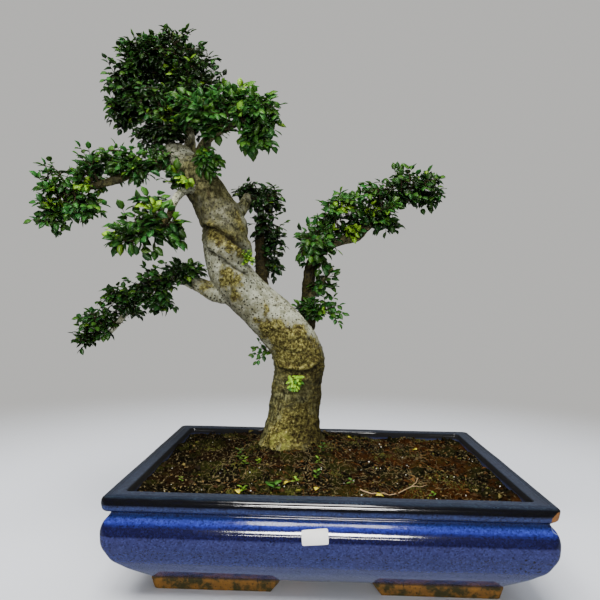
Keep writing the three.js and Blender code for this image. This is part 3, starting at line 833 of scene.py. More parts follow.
@dataclass
class Pot:
    """The glazed pot: a body swept through rounded rectangles, and four corner feet of bare clay."""

    corner_steps: int = 6
    long_steps: int = 34
    short_steps: int = 26
    foot_ring: float = 20.0
    gap_front: float = 81.0
    gap_end: float = 57.0
    gap_spread: float = 9.0
    foot_wear: float = 0.35
    foot_wear_pitch: float = 6.0
    drain_radius: float = 12.0
    drain_place: float = 85.0
    outside: tuple[tuple[float, float], ...] = (
        (32, 81), (28.5, 78), (16.6, 68), (11, 62.5), (5, 56), (1, 48), (-2, 42), (-3, 36), (-3, 30),
        (-1.8, 25.5), (0, 22), (4, 16.8), (4, 14.6), (-1, 12), (-2.5, 8), (-2.6, 5), (-1.7, 2.3),
        (0.4, 0.7), (3, 0),
    )
    inside: tuple[tuple[float, float], ...] = (
        (13.2, 0), (14.6, 1.5), (14.6, 17), (7, 28), (7, 40), (14, 55), (26, 66), (38, 72),
    )

    def ring(self, inset: float, height: float, corner: float) -> list[Vector]:
        """A rounded rectangle inset from the rim's outline, with points along its sides too.

        Args:
            inset: how far it stands in from the rim's outline.
            height: its height.
            corner: its corners' radius.

        Returns:
            Its points, anticlockwise from above.
        """
        half_x, half_y = POT_LENGTH / 2 - inset - corner, POT_WIDTH / 2 - inset - corner
        signs = ((1, 1), (-1, 1), (-1, -1), (1, -1), (1, 1))
        corners = [Vector((x * half_x, y * half_y, height)) for x, y in signs]
        points = []
        for quarter in range(4):
            for step in range(self.corner_steps + 1):
                angle = (quarter + step / self.corner_steps) * math.pi / 2
                reach = corner * Vector((math.cos(angle), math.sin(angle), 0.0))
                points.append(corners[quarter] + reach)
            side = self.short_steps if quarter % 2 else self.long_steps
            goal = corners[quarter + 1] + reach
            points += [points[-1].lerp(goal, k / side) for k in range(1, side)]
        return points

    def profile(self) -> list[tuple[float, float]]:
        """Insets and depths from the underside's middle, over the rim, to the floor's middle.

        Returns:
            The insets and depths.
        """
        underside = [(132.0, 81.0), (90.0, 81.0), (50.0, 81.0)]
        floor = [(60.0, 72.0), (100.0, 72.0), (132.0, 72.0)]
        return underside + smooth_line(self.outside, 4) + smooth_line(self.inside, 3) + floor

    def wall_inset(self, height: float) -> float:
        """How far the outside of the wall stands in from the rim's outline at a height.

        Args:
            height: the height.

        Returns:
            The inset in millimetres.
        """
        line = [(POT_HEIGHT - depth, inset) for inset, depth in smooth_line(self.outside, 4)]
        for (z0, a), (z1, b) in zip(line, line[1:]):
            if z0 <= height <= z1:
                return a + (b - a) * (height - z0) / (z1 - z0)
        return line[-1][1]

    def uneven(self, bm: BMesh, glaze: Glaze) -> None:
        """Hand-made unevenness, the chipped rim corner and a blister in the glaze.

        Args:
            bm: the pot's body.
            glaze: says where the chip and the blister are.
        """
        chip, blister = Vector(glaze.chip), Vector(glaze.blister)
        for vert in bm.verts:
            wander = noise.noise(vert.co / 55.0) * 0.5
            vert.co += vert.normal * wander
            distance = (vert.co - chip).length
            if distance < glaze.chip_reach:
                depth = 2.6 * (1 - distance / glaze.chip_reach) + 0.4 * noise.noise(vert.co)
                vert.co -= vert.normal * max(0.0, depth)
            swell = math.exp(-((vert.co - blister).length / 1.3) ** 2)
            vert.co += vert.normal * 0.7 * swell

    def body(self, glaze: Glaze) -> Object:
        """The pot without its feet, with its two drain holes cut.

        Args:
            glaze: its finish.

        Returns:
            The piece.
        """
        bm = bmesh.new()
        rings = [
            self.ring(inset, POT_HEIGHT - depth, RIM_CORNER + 1.2 * max(0.0, -inset))
            for inset, depth in self.profile()
        ]
        swept(bm, rings)
        bmesh.ops.recalc_face_normals(bm, faces=bm.faces)
        bm.normal_update()
        self.uneven(bm, glaze)
        piece = finished(bm, "pot_body", [glaze.material()], "pot")
        for side in (-1, 1):
            self.drain(piece, side * self.drain_place)
        return piece

    def drain(self, piece: Object, x: float) -> None:
        """Cuts one drain hole through the floor.

        Args:
            piece: the pot's body.
            x: the hole's place along the pot.
        """
        bm = bmesh.new()
        bmesh.ops.create_cone(
            bm, cap_ends=True, segments=40, radius1=self.drain_radius, radius2=self.drain_radius, depth=40.0,
            matrix=Matrix.Translation((x, 0.0, 2 * FOOT_HEIGHT - 4)),
        )
        bm.transform(TO_SCENE)
        cutter = placed("drain_cut", meshed(bm, "drain_cut"))
        cut = piece.modifiers.new("drain", "BOOLEAN")
        cut.operation = "DIFFERENCE"
        cut.solver = "EXACT"
        cut.object = cutter
        done = evaluated(piece)
        piece.modifiers.clear()
        piece.data = done
        bpy.data.objects.remove(cutter)

    def feet(self) -> Object:
        """Four L-shaped corner feet with slanted ends, sunk a little into the body.

        Returns:
            The piece.
        """
        bm = bmesh.new()
        for side_x in (-1, 1):
            for side_y in (-1, 1):
                absorb(bm, meshed(self.foot(side_x, side_y), "foot"))
        return finished(bm, "pot_feet", [Clay().material()], smooth=False)

    def foot(self, side_x: int, side_y: int) -> BMesh:
        """One corner of the foot ring, cut off at its two ends.

        Args:
            side_x: -1 for left or 1 for right.
            side_y: -1 for front or 1 for back.

        Returns:
            The foot as new work.
        """
        bm = bmesh.new()
        inset, top = self.outside[0][0], FOOT_HEIGHT + 0.8
        rings = [
            self.ring(inset + 3, 0.0, RIM_CORNER), self.ring(inset + 0.8, FOOT_HEIGHT - 3, RIM_CORNER),
            self.ring(inset + 0.8, top, RIM_CORNER), self.ring(inset + self.foot_ring, top, RIM_CORNER),
            self.ring(inset + self.foot_ring, 0.0, RIM_CORNER),
        ]
        swept(bm, rings, capped=False)
        gaps = (Vector((side_x, 0, 0)), self.gap_front / 2), (Vector((0, side_y, 0)), self.gap_end / 2)
        for along, half in gaps:
            slant = (along * FOOT_HEIGHT + Vector((0, 0, self.gap_spread))).normalized()
            bmesh.ops.bisect_plane(
                bm, geom=[*bm.verts, *bm.edges, *bm.faces], clear_inner=True,
                plane_co=along * half + Vector((0, 0, FOOT_HEIGHT)), plane_no=slant,
            )
        bmesh.ops.holes_fill(bm, edges=[e for e in bm.edges if e.is_boundary])
        bmesh.ops.recalc_face_normals(bm, faces=bm.faces)
        sharp = [
            edge for edge in bm.edges
            if edge.calc_face_angle(0.0) > 0.6 and max(vert.co.z for vert in edge.verts) < FOOT_HEIGHT
        ]
        bmesh.ops.bevel(
            bm, geom=sharp, offset=0.9, segments=2, profile=0.5,
            affect="EDGES", material=-1, clamp_overlap=True,
        )
        for vert in bm.verts:
            if vert.co.z > 0.5:
                vert.co += self.foot_wear * noise.noise_vector(vert.co / self.foot_wear_pitch)
        return bm


@dataclass
class Label:
    """The blank paper label that follows the pot's bulge."""

    length: float = 22.0
    height: float = 12.0
    corner: float = 1.5
    tilt: float = math.radians(4.5)
    centre: tuple[float, float] = (-10.8, 65.0)
    gap: float = 0.75
    thickness: float = 0.2

    def rounded(self, x: float, y: float) -> tuple[float, float]:
        """Pulls a point of the square corner onto its arc.

        Args:
            x: its place along the label.
            y: its place up the label.

        Returns:
            The moved place.
        """
        spans = ((x, self.length / 2), (y, self.height / 2))
        over = [max(0.0, abs(value) - (half - self.corner)) for value, half in spans]
        reach = math.hypot(*over)
        if reach == 0.0:
            return x, y
        pull = max(over) / reach
        moved = [abs(value) - past + past * pull for (value, _), past in zip(spans, over)]
        return math.copysign(moved[0], x), math.copysign(moved[1], y)

    def build(self, pot: Pot) -> Object:
        """A grid bent over the bulge and given the paper's thickness.

        Args:
            pot: the pot that it is stuck on.

        Returns:
            The piece.
        """
        bm = bmesh.new()
        bmesh.ops.create_grid(bm, x_segments=44, y_segments=24, size=0.5)
        for vert in bm.verts:
            x, y = self.rounded(vert.co.x * self.length, vert.co.y * self.height)
            turned_x = x * math.cos(self.tilt) - y * math.sin(self.tilt)
            turned_z = x * math.sin(self.tilt) + y * math.cos(self.tilt)
            z = self.centre[1] + turned_z
            lift = self.gap + self.thickness
            vert.co = Vector((self.centre[0] + turned_x, -(POT_WIDTH / 2 - pot.wall_inset(z)) - lift, z))
        bmesh.ops.recalc_face_normals(bm, faces=bm.faces)
        if next(iter(bm.faces)).normal.y > 0:
            bmesh.ops.reverse_faces(bm, faces=bm.faces)
        bmesh.ops.solidify(bm, geom=bm.faces, thickness=self.thickness)
        bmesh.ops.recalc_face_normals(bm, faces=bm.faces)
        paper = Matt("label_paper", (0.80, 0.80, 0.78), (0.88, 0.88, 0.86), 6.0, 0.55).material()
        return finished(bm, "blank_label", [paper], "stock_label")


# Soil


@dataclass
class Ground:
    """The soil: a lumpy mounded field that fills the pot, strewn with crumbs and litter."""

    edge: float = 85.5
    pitch: float = 1.9
    wall: float = 15.0
    cavity: tuple[tuple[float, float], ...] = ((15.0, 39.0), (27.5, 28.0), (39.0, 21.8))
    mounds: tuple[tuple[float, float, float, float, float], ...] = (
        (-30, 36, 19, 88, 79), (95, 10, 4, 50, 60), (62, 2, 5, 16, 14),
        (-104, -40, 3, 20, 16), (128, -62, 4, 22, 16),
    )
    seen_cushions: tuple[Point, ...] = (
        (-104, -40, 20), (128, -62, 20), (-150, 60, 22), (-60, 78, 20), (-80, 20, 18), (62, 2, 12),
    )
    crumb_count: int = 4200
    strand_count: int = 650
    moss_count: int = 4200
    rng: random.Random = field(default_factory=lambda: random.Random(SEED))

    def height(self, x: float, y: float) -> float:
        """The soil's height at a place, lumps included.

        Args:
            x: the place along the pot.
            y: the place across it.

        Returns:
            The height.
        """
        mounds = sum(
            rise * math.exp(-(((x - cx) / wide) ** 2) - ((y - cy) / deep) ** 2)
            for cx, cy, rise, wide, deep in self.mounds
        )
        roll = 1.6 * math.sin(x / 21 + 1.3) * math.cos(y / 17) + 1.1 * math.sin((x + y) / 11)
        lumps = 3.0 * noise.fractal(Vector((x, y, 0.0)) / 19.0, 0.8, 2.2, 4)
        clods = 2.6 * (noise.turbulence(Vector((x, y, 3.0)) / 9.0, 3, True) - 0.5)
        grit = 1.1 * noise.fractal(Vector((x, y, 7.0)) / 4.2, 0.9, 2.1, 3)
        to_wall = min(POT_WIDTH / 2 - self.wall - abs(y), POT_LENGTH / 2 - self.wall - abs(x))
        return self.edge - 1.5 + mounds + roll + (lumps + clods + grit) * (0.4 + 0.6 * clamped(to_wall / 8.0))

    def inside(self, x: float, y: float, margin: float = 0.0) -> bool:
        """Whether a place lies within the pot's inner wall."""
        return abs(x) < POT_LENGTH / 2 - self.wall - margin and abs(y) < POT_WIDTH / 2 - self.wall - margin

    def field(self, earth: Material) -> Object:
        """The ground itself, closed below.

        Args:
            earth: its finish.

        Returns:
            The piece.
        """
        bm = bmesh.new()
        half_x, half_y = POT_LENGTH / 2 - self.wall, POT_WIDTH / 2 - self.wall
        columns, rows = int(2 * half_x / self.pitch), int(2 * half_y / self.pitch)
        bmesh.ops.create_grid(bm, x_segments=columns, y_segments=rows, size=1.0)
        for vert in bm.verts:
            x, y = vert.co.x * half_x, vert.co.y * half_y
            vert.co = Vector((x, y, self.height(x, y)))
        rim = [e for e in bm.edges if e.is_boundary]
        for inset, z in self.cavity:
            drawn = bmesh.ops.extrude_edge_only(bm, edges=rim)["geom"]
            squeeze = (POT_LENGTH / 2 - inset) / half_x, (POT_WIDTH / 2 - inset) / half_y
            half_x, half_y = half_x * squeeze[0], half_y * squeeze[1]
            for vert in drawn:
                if isinstance(vert, BMVert):
                    vert.co = Vector((vert.co.x * squeeze[0], vert.co.y * squeeze[1], z))
            rim = [e for e in drawn if isinstance(e, bmesh.types.BMEdge) and e.is_boundary]
        bmesh.ops.contextual_create(bm, geom=rim)
        bmesh.ops.recalc_face_normals(bm, faces=bm.faces)
        return finished(bm, "soil_ground", [earth], "soil")

    def spot(self, margin: float = 3.0) -> tuple[float, float]:
        """A random place on the soil."""
        half_x, half_y = POT_LENGTH / 2 - self.wall - margin, POT_WIDTH / 2 - self.wall - margin
        return self.rng.uniform(-half_x, half_x), self.rng.uniform(-half_y, half_y)

    def crumbs(self, earth: Material) -> Object:
        """Thousands of small angular crumbs half sunk in the soil.

        Args:
            earth: their finish.

        Returns:
            The piece.
        """
        with Stamp.of_ball(1) as stamp:
            for _ in range(self.crumb_count):
                x, y = self.spot()
                size = min(3.4, 0.7 + self.rng.expovariate(1.7))
                stamp.press(self.lump_matrix(x, y, size))
            return finished(stamp.bm, "soil_crumbs", [earth], smooth=False)

    def lump_matrix(self, x: float, y: float, size: float) -> Matrix:
        """A turned and squashed placement on the soil.

        Args:
            x: the place along the pot.
            y: the place across it.
            size: the lump's radius.

        Returns:
            The placement.
        """
        angle = self.rng.uniform(0, math.tau)
        way = Vector((self.rng.uniform(-1, 1), self.rng.uniform(-1, 1), self.rng.uniform(0.1, 1)))
        turn = Matrix.Rotation(angle, 4, way.normalized())
        deep, high = size * self.rng.uniform(0.6, 1.0), size * self.rng.uniform(0.4, 0.8)
        squash = Matrix.Diagonal((size, deep, high, 1.0))
        return Matrix.Translation((x, y, self.height(x, y) + 0.2 * size)) @ turn @ squash

    def grit(self) -> Object:
        """White specks of grit.

        Returns:
            The piece.
        """
        with Stamp.of_ball(2) as stamp:
            for _ in range(90):
                x, y = self.spot()
                stamp.press(self.lump_matrix(x, y, self.rng.uniform(0.45, 1.0)))
            white = Matt("white_grit", (0.75, 0.73, 0.66), (0.52, 0.50, 0.42), 1.2, 0.7).material()
            return finished(stamp.bm, "white_grit", [white])

    def strands(self) -> list[Object]:
        """Rootlets, needles and bits of stem that lie about, in two colours.

        Returns:
            The pieces.
        """
        kinds = {
            "rusty_needles": (Matt("rusty_needle", (0.20, 0.075, 0.014), (0.03, 0.012, 0.003), 5.0), 70.0),
            "pale_rootlets": (Matt("pale_rootlet", (0.28, 0.22, 0.10), (0.03, 0.020, 0.007), 6.0), 5.0),
        }
        pieces = []
        for name, (finish, middle) in kinds.items():
            lines = []
            for _ in range(self.strand_count):
                x, y = self.spot(8.0)
                x = 0.72 * x + 0.28 * middle
                lines.append(self.strand_line(x, y))
            pieces.append(tubes(lines, name, finish.material()))
        return pieces

    def strand_line(self, x: float, y: float) -> Line:
        """One thin strand that wanders over the soil.

        Args:
            x: where it starts, along the pot.
            y: where it starts, across it.

        Returns:
            Its points with their radii.
        """
        heading = self.rng.uniform(0, math.tau)
        length = self.rng.uniform(4.0, 15.0)
        bend = self.rng.uniform(-0.5, 0.5)
        lift = self.rng.uniform(0.0, 1.2)
        radius = self.rng.uniform(0.12, 0.27)
        line = []
        for k in range(5):
            if self.inside(x, y, 1.0):
                arch = lift * math.sin(math.pi * k / 4) + 0.35
                line.append((Vector((x, y, self.height(x, y) + arch)), radius * (1 - 0.12 * k)))
            heading += bend
            x += length / 4 * math.cos(heading)
            y += length / 4 * math.sin(heading)
        return line

    def moss(self) -> Object:
        """Tiny moss points in cushions.

        Returns:
            The piece.
        """
        cushions = [(*self.spot(10.0), self.rng.uniform(6, 17)) for _ in range(20)]
        cushions += self.seen_cushions
        with Stamp.of_spike() as stamp:
            for _ in range(self.moss_count):
                cx, cy, reach = self.rng.choice(cushions)
                x, y = self.rng.gauss(cx, reach / 2), self.rng.gauss(cy, reach / 2)
                if not self.inside(x, y, 1.5):
                    continue
                size = self.rng.uniform(1.0, 2.4)
                lean = Matrix.Rotation(self.rng.uniform(-0.7, 0.7), 4, "X") @ Matrix.Rotation(
                    self.rng.uniform(-0.7, 0.7), 4, "Y")
                stamp.press(seated(Vector((x, y, self.height(x, y))), lean, size))
            finish = Matt("soil_moss", (0.12, 0.125, 0.020), (0.012, 0.016, 0.003), 7.0, 0.85)
            return finished(stamp.bm, "moss_cushions", [finish.material()], smooth=False)

    def pale_twig(self) -> Object:
        """The pale dead twig that lies in front, with its fork.

        Returns:
            The piece.
        """
        main = [(30, -93), (40, -96), (52, -93), (66, -88), (78, -78), (86, -66), (90, -55)]
        fork = [(78, -78), (88, -76), (96, -71)]
        lines = []
        for points, radius in ((main, 0.75), (fork, 0.5)):
            fine = smooth_line(points, 3)
            lines.append([
                (Vector((x, y, self.height(x, y) + 1.6)), radius * (1 - 0.5 * k / len(fine)))
                for k, (x, y) in enumerate(fine)
            ])
        finish = Matt("dead_twig", (0.42, 0.30, 0.17), (0.20, 0.13, 0.07), 4.0)
        return tubes(lines, "dead_twig", finish.material())


# Repeats


class Stamp:
    """A small shape that is pressed many times into one piece of work."""

    def __init__(self, shapes: Sequence[BMesh]) -> None:
        """Keeps the shapes as meshes and starts the work.

        Args:
            shapes: the variants of the small shape; they are used up.
        """
        self.bm = bmesh.new()
        self.meshes = []
        self.rests = []
        for number, shape in enumerate(shapes):
            mesh = shaded(meshed(shape, f"stamp_{number}"))
            rest = [0.0] * (3 * len(mesh.vertices))
            mesh.vertices.foreach_get("co", rest)
            self.meshes.append(mesh)
            self.rests.append(rest)

    @classmethod
    def of_ball(cls, subdivisions: int) -> "Stamp":
        """A stamp of one small ball.

        Args:
            subdivisions: how fine it is.

        Returns:
            The stamp.
        """
        bm = bmesh.new()
        bmesh.ops.create_icosphere(bm, subdivisions=subdivisions, radius=1.0)
        return cls([bm])

    @classmethod
    def of_spike(cls) -> "Stamp":
        """A stamp of one three-sided point.

        Returns:
            The stamp.
        """
        bm = bmesh.new()
        bmesh.ops.create_cone(
            bm, cap_ends=True, segments=3, radius1=0.26, radius2=0.0, depth=1.0,
            matrix=Matrix.Translation((0, 0, 0.4)),
        )
        return cls([bm])

    def __enter__(self) -> "Stamp":
        """The stamp itself."""
        return self

    def __exit__(self, *_: object) -> None:
        """Throws the small meshes away."""
        for mesh in self.meshes:
            bpy.data.meshes.remove(mesh)

    def press(self, matrix: Matrix, variant: int = 0, tint: tuple[float, ...] | None = None) -> None:
        """Adds one copy.

        Args:
            matrix: where it goes.
            variant: which of the shapes.
            tint: the colour that the copy's points carry, if they carry one.
        """
        mesh = self.meshes[variant]
        mesh.vertices.foreach_set("co", self.rests[variant])
        mesh.transform(matrix)
        if tint is not None:
            mesh.attributes["tint"].data.foreach_set("color", [*tint, 1.0] * len(mesh.vertices))
        self.bm.from_mesh(mesh)


def tube_mesh(lines: Sequence[Line]) -> Mesh:
    """Thin closed tubes with four sides along lines.

    Args:
        lines: points with their radii, a list for each tube.

    Returns:
        One mesh of all the tubes.
    """
    curve = bpy.data.curves.new("tubes", "CURVE")
    curve.dimensions = "3D"
    curve.bevel_depth = 1.0
    curve.bevel_resolution = 0
    curve.use_fill_caps = True
    for line in lines:
        if len(line) < 2:
            continue
        spline = curve.splines.new("POLY")
        spline.points.add(len(line) - 1)
        for point, (place, radius) in zip(spline.points, line):
            point.co = (*place, 1.0)
            point.radius = radius
    holder = bpy.data.objects.new("tubes", curve)
    mesh = bpy.data.meshes.new_from_object(holder)
    bpy.data.objects.remove(holder)
    bpy.data.curves.remove(curve)
    return mesh


def add_stems(bm: BMesh, lines: Sequence[Line]) -> None:
    """Adds thin stems in the piece's second finish.

    Args:
        bm: the work that they go into.
        lines: points with their radii, a list for each stem.
    """
    stems = tube_mesh(lines)
    for polygon in stems.polygons:
        polygon.material_index = 1
    absorb(bm, stems)


def tubes(lines: Sequence[Line], name: str, finish: Material) -> Object:
    """A piece made of thin tubes.

    Args:
        lines: points with their radii, a list for each tube.
        name: the piece's name.
        finish: its material.

    Returns:
        The piece.
    """
    bm = bmesh.new()
    absorb(bm, tube_mesh(lines))
    bmesh.ops.remove_doubles(bm, verts=bm.verts, dist=0.01)
    bmesh.ops.recalc_face_normals(bm, faces=bm.faces)
    return finished(bm, name, [finish])


# Wood

TRUNK = Axis((
    (-38, 38, 62, 33), (-38, 38, 84, 38), (-38, 38, 98, 37), (-38, 38, 107, 34.5), (-37, 38, 120, 30.5),
    (-36, 38, 138, 28), (-34, 36, 165, 27), (-32, 32, 190, 27), (-38, 28, 213, 27), (-56, 22, 236, 26),
    (-78, 16, 257, 24), (-97, 10, 275, 23.5), (-109, 5, 294, 23), (-112, 2, 316, 25), (-114, 0, 336, 25),
    (-121, -2, 354, 23), (-130, -3, 370, 20.5), (-140, -4, 385, 19), (-154, -3, 401, 18),
    (-168, 0, 415, 16.5), (-177, 2, 424, 13.5), (-182, 3, 429, 7),
))
BOUGHS = {
    "lowerLeft": Axis((
        (-100, 14, 272, 11), (-118, 9, 267, 10.5), (-140, 6, 276, 7.7), (-158, 6, 283, 6.6),
        (-176, 8, 286, 5.6), (-192, 12, 283, 4.8), (-204, 16, 273, 4.5), (-216, 20, 263, 3.9),
        (-235, 28, 240, 3.4), (-252, 34, 222, 2.9), (-268, 38, 212, 2),
    )),
    "middleLeft": Axis((
        (-140, -6, 382, 6), (-150, -24, 378, 5), (-158, -44, 364, 4.2), (-162, -60, 340, 3.5),
        (-172, -68, 326, 2.8), (-186, -74, 318, 2.3), (-199, -78, 316, 1.8),
    )),
    "upperLeft": Axis((
        (-160, 4, 408, 9), (-174, -2, 411, 8.2), (-191, -10, 408, 6.6), (-207, -18, 399, 5.5),
        (-223, -24, 388, 4.7), (-243, -28, 381, 3.8), (-265, -32, 373, 3), (-284, -36, 365, 2),
    )),
    "crownLeft": Axis((
        (-168, 2, 414, 7), (-178, 6, 434, 5.6), (-192, 12, 455, 4.6), (-208, 18, 478, 3.8),
        (-222, 22, 502, 3.2), (-226, 24, 524, 2.6), (-220, 26, 542, 1.8),
    )),
    "crownMiddle": Axis((
        (-158, 2, 404, 9), (-157, 8, 428, 7), (-160, 14, 452, 5.4), (-168, 20, 478, 4.2),
        (-176, 26, 504, 3.4), (-180, 30, 528, 2.6), (-184, 32, 548, 1.8),
    )),
    "crownBack": Axis((
        (-152, 4, 400, 7), (-146, 22, 424, 6), (-144, 40, 448, 5), (-148, 54, 472, 4),
        (-154, 62, 496, 3), (-158, 66, 514, 2),
    )),
    "crownRight": Axis((
        (-146, -4, 396, 7), (-139, -14, 422, 6), (-128, -24, 434, 5), (-110, -32, 440, 4),
        (-90, -38, 446, 3), (-76, -42, 450, 2),
    )),
    "back": Axis((
        (-80, 12, 262, 9), (-77, 30, 268, 8), (-77, 48, 284, 7), (-80, 62, 304, 6.4), (-83, 71, 325, 6),
        (-84, 76, 347, 5.4), (-83, 80, 367, 4.4), (-85, 82, 384, 3.2), (-88, 82, 396, 2.2),
    )),
    "sideStub": Axis(((-112, 2, 344, 8), (-101, 8, 358, 7.2), (-95, 15, 371, 6), (-93, 22, 381, 4.6))),
    "right": Axis((
        (-40, 32, 208, 11), (-23, 46, 234, 8.6), (-22, 52, 254, 7.4), (-23, 55, 275, 7.1),
        (-21, 55, 297, 6.7), (-14, 52, 315, 6), (0, 50, 327, 5.4), (16, 48, 334, 5.1),
        (34, 48, 339, 4.8), (47, 50, 352, 4.5), (61, 54, 366, 4.2), (78, 58, 377, 3.7),
        (98, 62, 388, 3.1), (113, 66, 394, 2.2),
    )),
    "rightTwig": Axis(((-22, 52, 262, 4), (-11, 46, 278, 3), (-2, 42, 291, 2.5), (6, 39, 301, 1.8))),
}


@dataclass(frozen=True)
class Tone:
    """How smooth a limb's bark is and how much painted shade it carries, from 0 to 1."""

    smooth: float
    shade: float


# Each bough's shade is painted shade: the back bough and the right bough's foot, in the foliage's shadow, are
# painted darkest.
TONES = {
    "lowerLeft": Tone(0.6, 0.0), "middleLeft": Tone(0.6, 0.0), "upperLeft": Tone(0.1, 0.55),
    "crownLeft": Tone(0.1, 0.5), "crownMiddle": Tone(0.3, 0.25), "crownBack": Tone(0.1, 0.6),
    "crownRight": Tone(0.3, 0.32), "back": Tone(0.0, 1.0), "sideStub": Tone(0.35, 0.0),
    "right": Tone(0.1, 0.55), "rightFoot": Tone(0.0, 1.0), "rightTwig": Tone(0.2, 0.15),
}


@dataclass
class Crease:
    """A fold of the trunk's front: a groove under a raised lip, drawn through points (x, z)."""

    points: tuple[tuple[float, float], ...]
    depth: float
    lip: float
    width: float = 1.7

    @cached_property
    def line(self) -> list[Vector]:
        """The fold's finer points, seen from the front."""
        return [Vector((x, 0.0, z)) for x, z in smooth_line(self.points, 10)]

    @cached_property
    def tree(self) -> KDTree:
        """The finer points, for finding the nearest."""
        return point_tree(self.line)

    def at(self, place: Vector) -> tuple[float, float]:
        """The groove and the lip at a point of the front.

        Args:
            place: the point, already wandered a little.

        Returns:
            How deep in the groove and how high on the lip it lies, each from 0 to 1.
        """
        flat = Vector((place.x, 0.0, place.z))
        point, number, distance = self.tree.find(flat)
        if distance > 16.0:
            return 0.0, 0.0
        ahead = self.line[min(number + 1, len(self.line) - 1)] - self.line[max(number - 1, 0)]
        above = (flat - point).x * ahead.z - (flat - point).z * ahead.x
        side = 1.0 if above * (1.0 if ahead.x >= 0 else -1.0) < 0 else -1.0
        fade = min(1.0, min(number, len(self.line) - 1 - number) / 6.0 + 0.35)
        groove = math.exp(-((distance / self.width) ** 2)) * fade
        lip = math.exp(-(((side * distance - 4.2) / 3.2) ** 2)) * fade
        return groove, lip


@dataclass
class Wood:
    """Trunk, boughs and root flares, grown into one skin and given its bark."""

    voxel: float = 1.4
    pale_stub_end: float = 352.0
    pale_zones: tuple[Point, ...] = ((1.0, 260, 37), (0.75, 306, 17), (0.34, 350, 21))
    top_cut: Point = (-172, 0, 418)
    knee: tuple[float, float] = (208, 22)
    root_headings: tuple[float, ...] = (12, 110, 205, 290)
    root_points: tuple[Point, ...] = ((10, 106, 12), (26, 95, 13), (39, 84, 10), (46, 74, 6))
    creases: tuple[Crease, ...] = (
        Crease((
            (-137, 339), (-124, 337), (-110, 330), (-99, 322), (-88, 314), (-80, 308), (-82, 301)
        ), 4.6, 3.4, 2.3),
        Crease(((-133, 316), (-124, 311), (-116, 306), (-105, 299), (-96, 293), (-88, 289)), 2.8, 1.9, 1.8),
        Crease(((-115, 314), (-113, 301), (-109, 293)), 1.3, 0.5, 1.2),
        Crease(((-128, 350), (-116, 347), (-105, 341), (-95, 333)), 1.0, 0.8, 1.5),
        Crease(((-109, 262), (-106, 248), (-95, 236)), 1.2, 0.6),
        Crease(((-150, 384), (-138, 376), (-128, 366), (-122, 358)), 1.2, 0.8),
        Crease(((-56, 187), (-41, 184), (-23, 183), (-8, 192)), 2.6, 2.8, 2.0),
        Crease(((-52, 174), (-38, 171), (-20, 173)), 0.9, 0.6, 1.3),
        Crease(((-77, 229), (-68, 224), (-52, 228), (-39, 218), (-28, 221), (-15, 216)), 0.9, 0.7, 1.3),
        Crease(((-62, 214), (-50, 208), (-38, 205), (-22, 206)), 0.9, 0.8, 1.3),
    )
    mossy: tuple[tuple[Point, float, float], ...] = (
        ((-105, -20, 279), 13, 1.0), ((-112, -20, 284), 8, 0.9), ((-98, -16, 266), 8, 0.6),
        ((-130, -24, 334), 9, 0.85), ((-118, -24, 330), 9, 0.8), ((-105, -24, 321), 10, 0.9),
        ((-93, -20, 312), 10, 0.8), ((-86, -14, 303), 8, 0.8), ((-93, -14, 354), 10, 0.9),
        ((-88, -10, 340), 8, 0.6), ((-74, -6, 236), 9, 0.7), ((-64, -4, 225), 13, 0.95),
        ((-50, 2, 219), 13, 0.95), ((-36, 6, 221), 14, 1.0), ((-40, 6, 205), 14, 0.9),
        ((-24, 10, 205), 14, 1.0), ((-14, 14, 193), 13, 0.95), ((-28, 10, 191), 11, 0.7),
        ((-50, 8, 196), 9, 0.6), ((-67, -8, 254), 5, 0.75), ((-42, 8, 118), 15, 0.85),
        ((-22, 16, 128), 14, 0.6), ((-16, 20, 108), 13, 0.8), ((-60, 12, 104), 9, 0.7),
        ((-134, 2, 276), 14, 0.55), ((-14, 60, 150), 30, 0.6), ((-50, 60, 205), 28, 0.6),
        ((-100, 22, 380), 10, 0.6), ((-80, 40, 270), 14, 0.7),
    )

    def trunk_relief(self, t: float, angle: float) -> float:
        """How much the trunk's section swells or folds at a share of its length.

        Args:
            t: the share.
            angle: the way round the section.

        Returns:
            The swelling as a share of the radius.
        """
        flutes = 0.03 * math.sin(3 * angle + 9 * t) + 0.022 * math.sin(5 * angle - 14 * t + 1)
        ridge_place = 0.632 - 0.022 * math.cos(angle)
        right_side = 0.55 + 0.45 * math.cos(angle)
        ridge = 0.15 * hump(t, ridge_place, 0.016) * right_side
        groove = -0.13 * hump(t, ridge_place - 0.036, 0.013) * right_side
        upper_groove = -0.06 * hump(t, ridge_place + 0.04, 0.012)
        knee = 0.06 * hump(t, 0.345, 0.035) * max(0.0, math.cos(angle))
        return flutes + ridge + groove + upper_groove + knee

    def limb_rings(
        self, axis: Axis, sides: int, steps: int, relief: Callable[[float, float], float]
    ) -> list[list[Vector]]:
        """Rings of points round a limb from one end to the other.

        Args:
            axis: the limb.
            sides: points in a ring.
            steps: steps along the limb.
            relief: the swelling at a share of the length and an angle.

        Returns:
            The rings.
        """
        side = Vector((1.0, 0.0, 0.0))
        rings = []
        for step in range(steps + 1):
            t = step / steps
            along = axis.heading(t)
            side = (side - along * side.dot(along)).normalized()
            across = along.cross(side)
            middle, radius = axis.place(t), axis.radius(t)
            angles = [k / sides * math.tau for k in range(sides)]
            rings.append([
                middle + radius * (1 + relief(t, a)) * (side * math.cos(a) + across * math.sin(a))
                for a in angles
            ])
        return rings

    def root(self, heading: float) -> Axis:
        """One low flare at the trunk's base.

        Args:
            heading: the way that it runs, in degrees.

        Returns:
            The flare's axis.
        """
        cx, cy = TRUNK.points[1][:2]
        turn = math.radians(heading)
        return Axis(tuple(
            (cx + reach * math.cos(turn), cy + reach * math.sin(turn), z, radius)
            for reach, z, radius in self.root_points
        ))

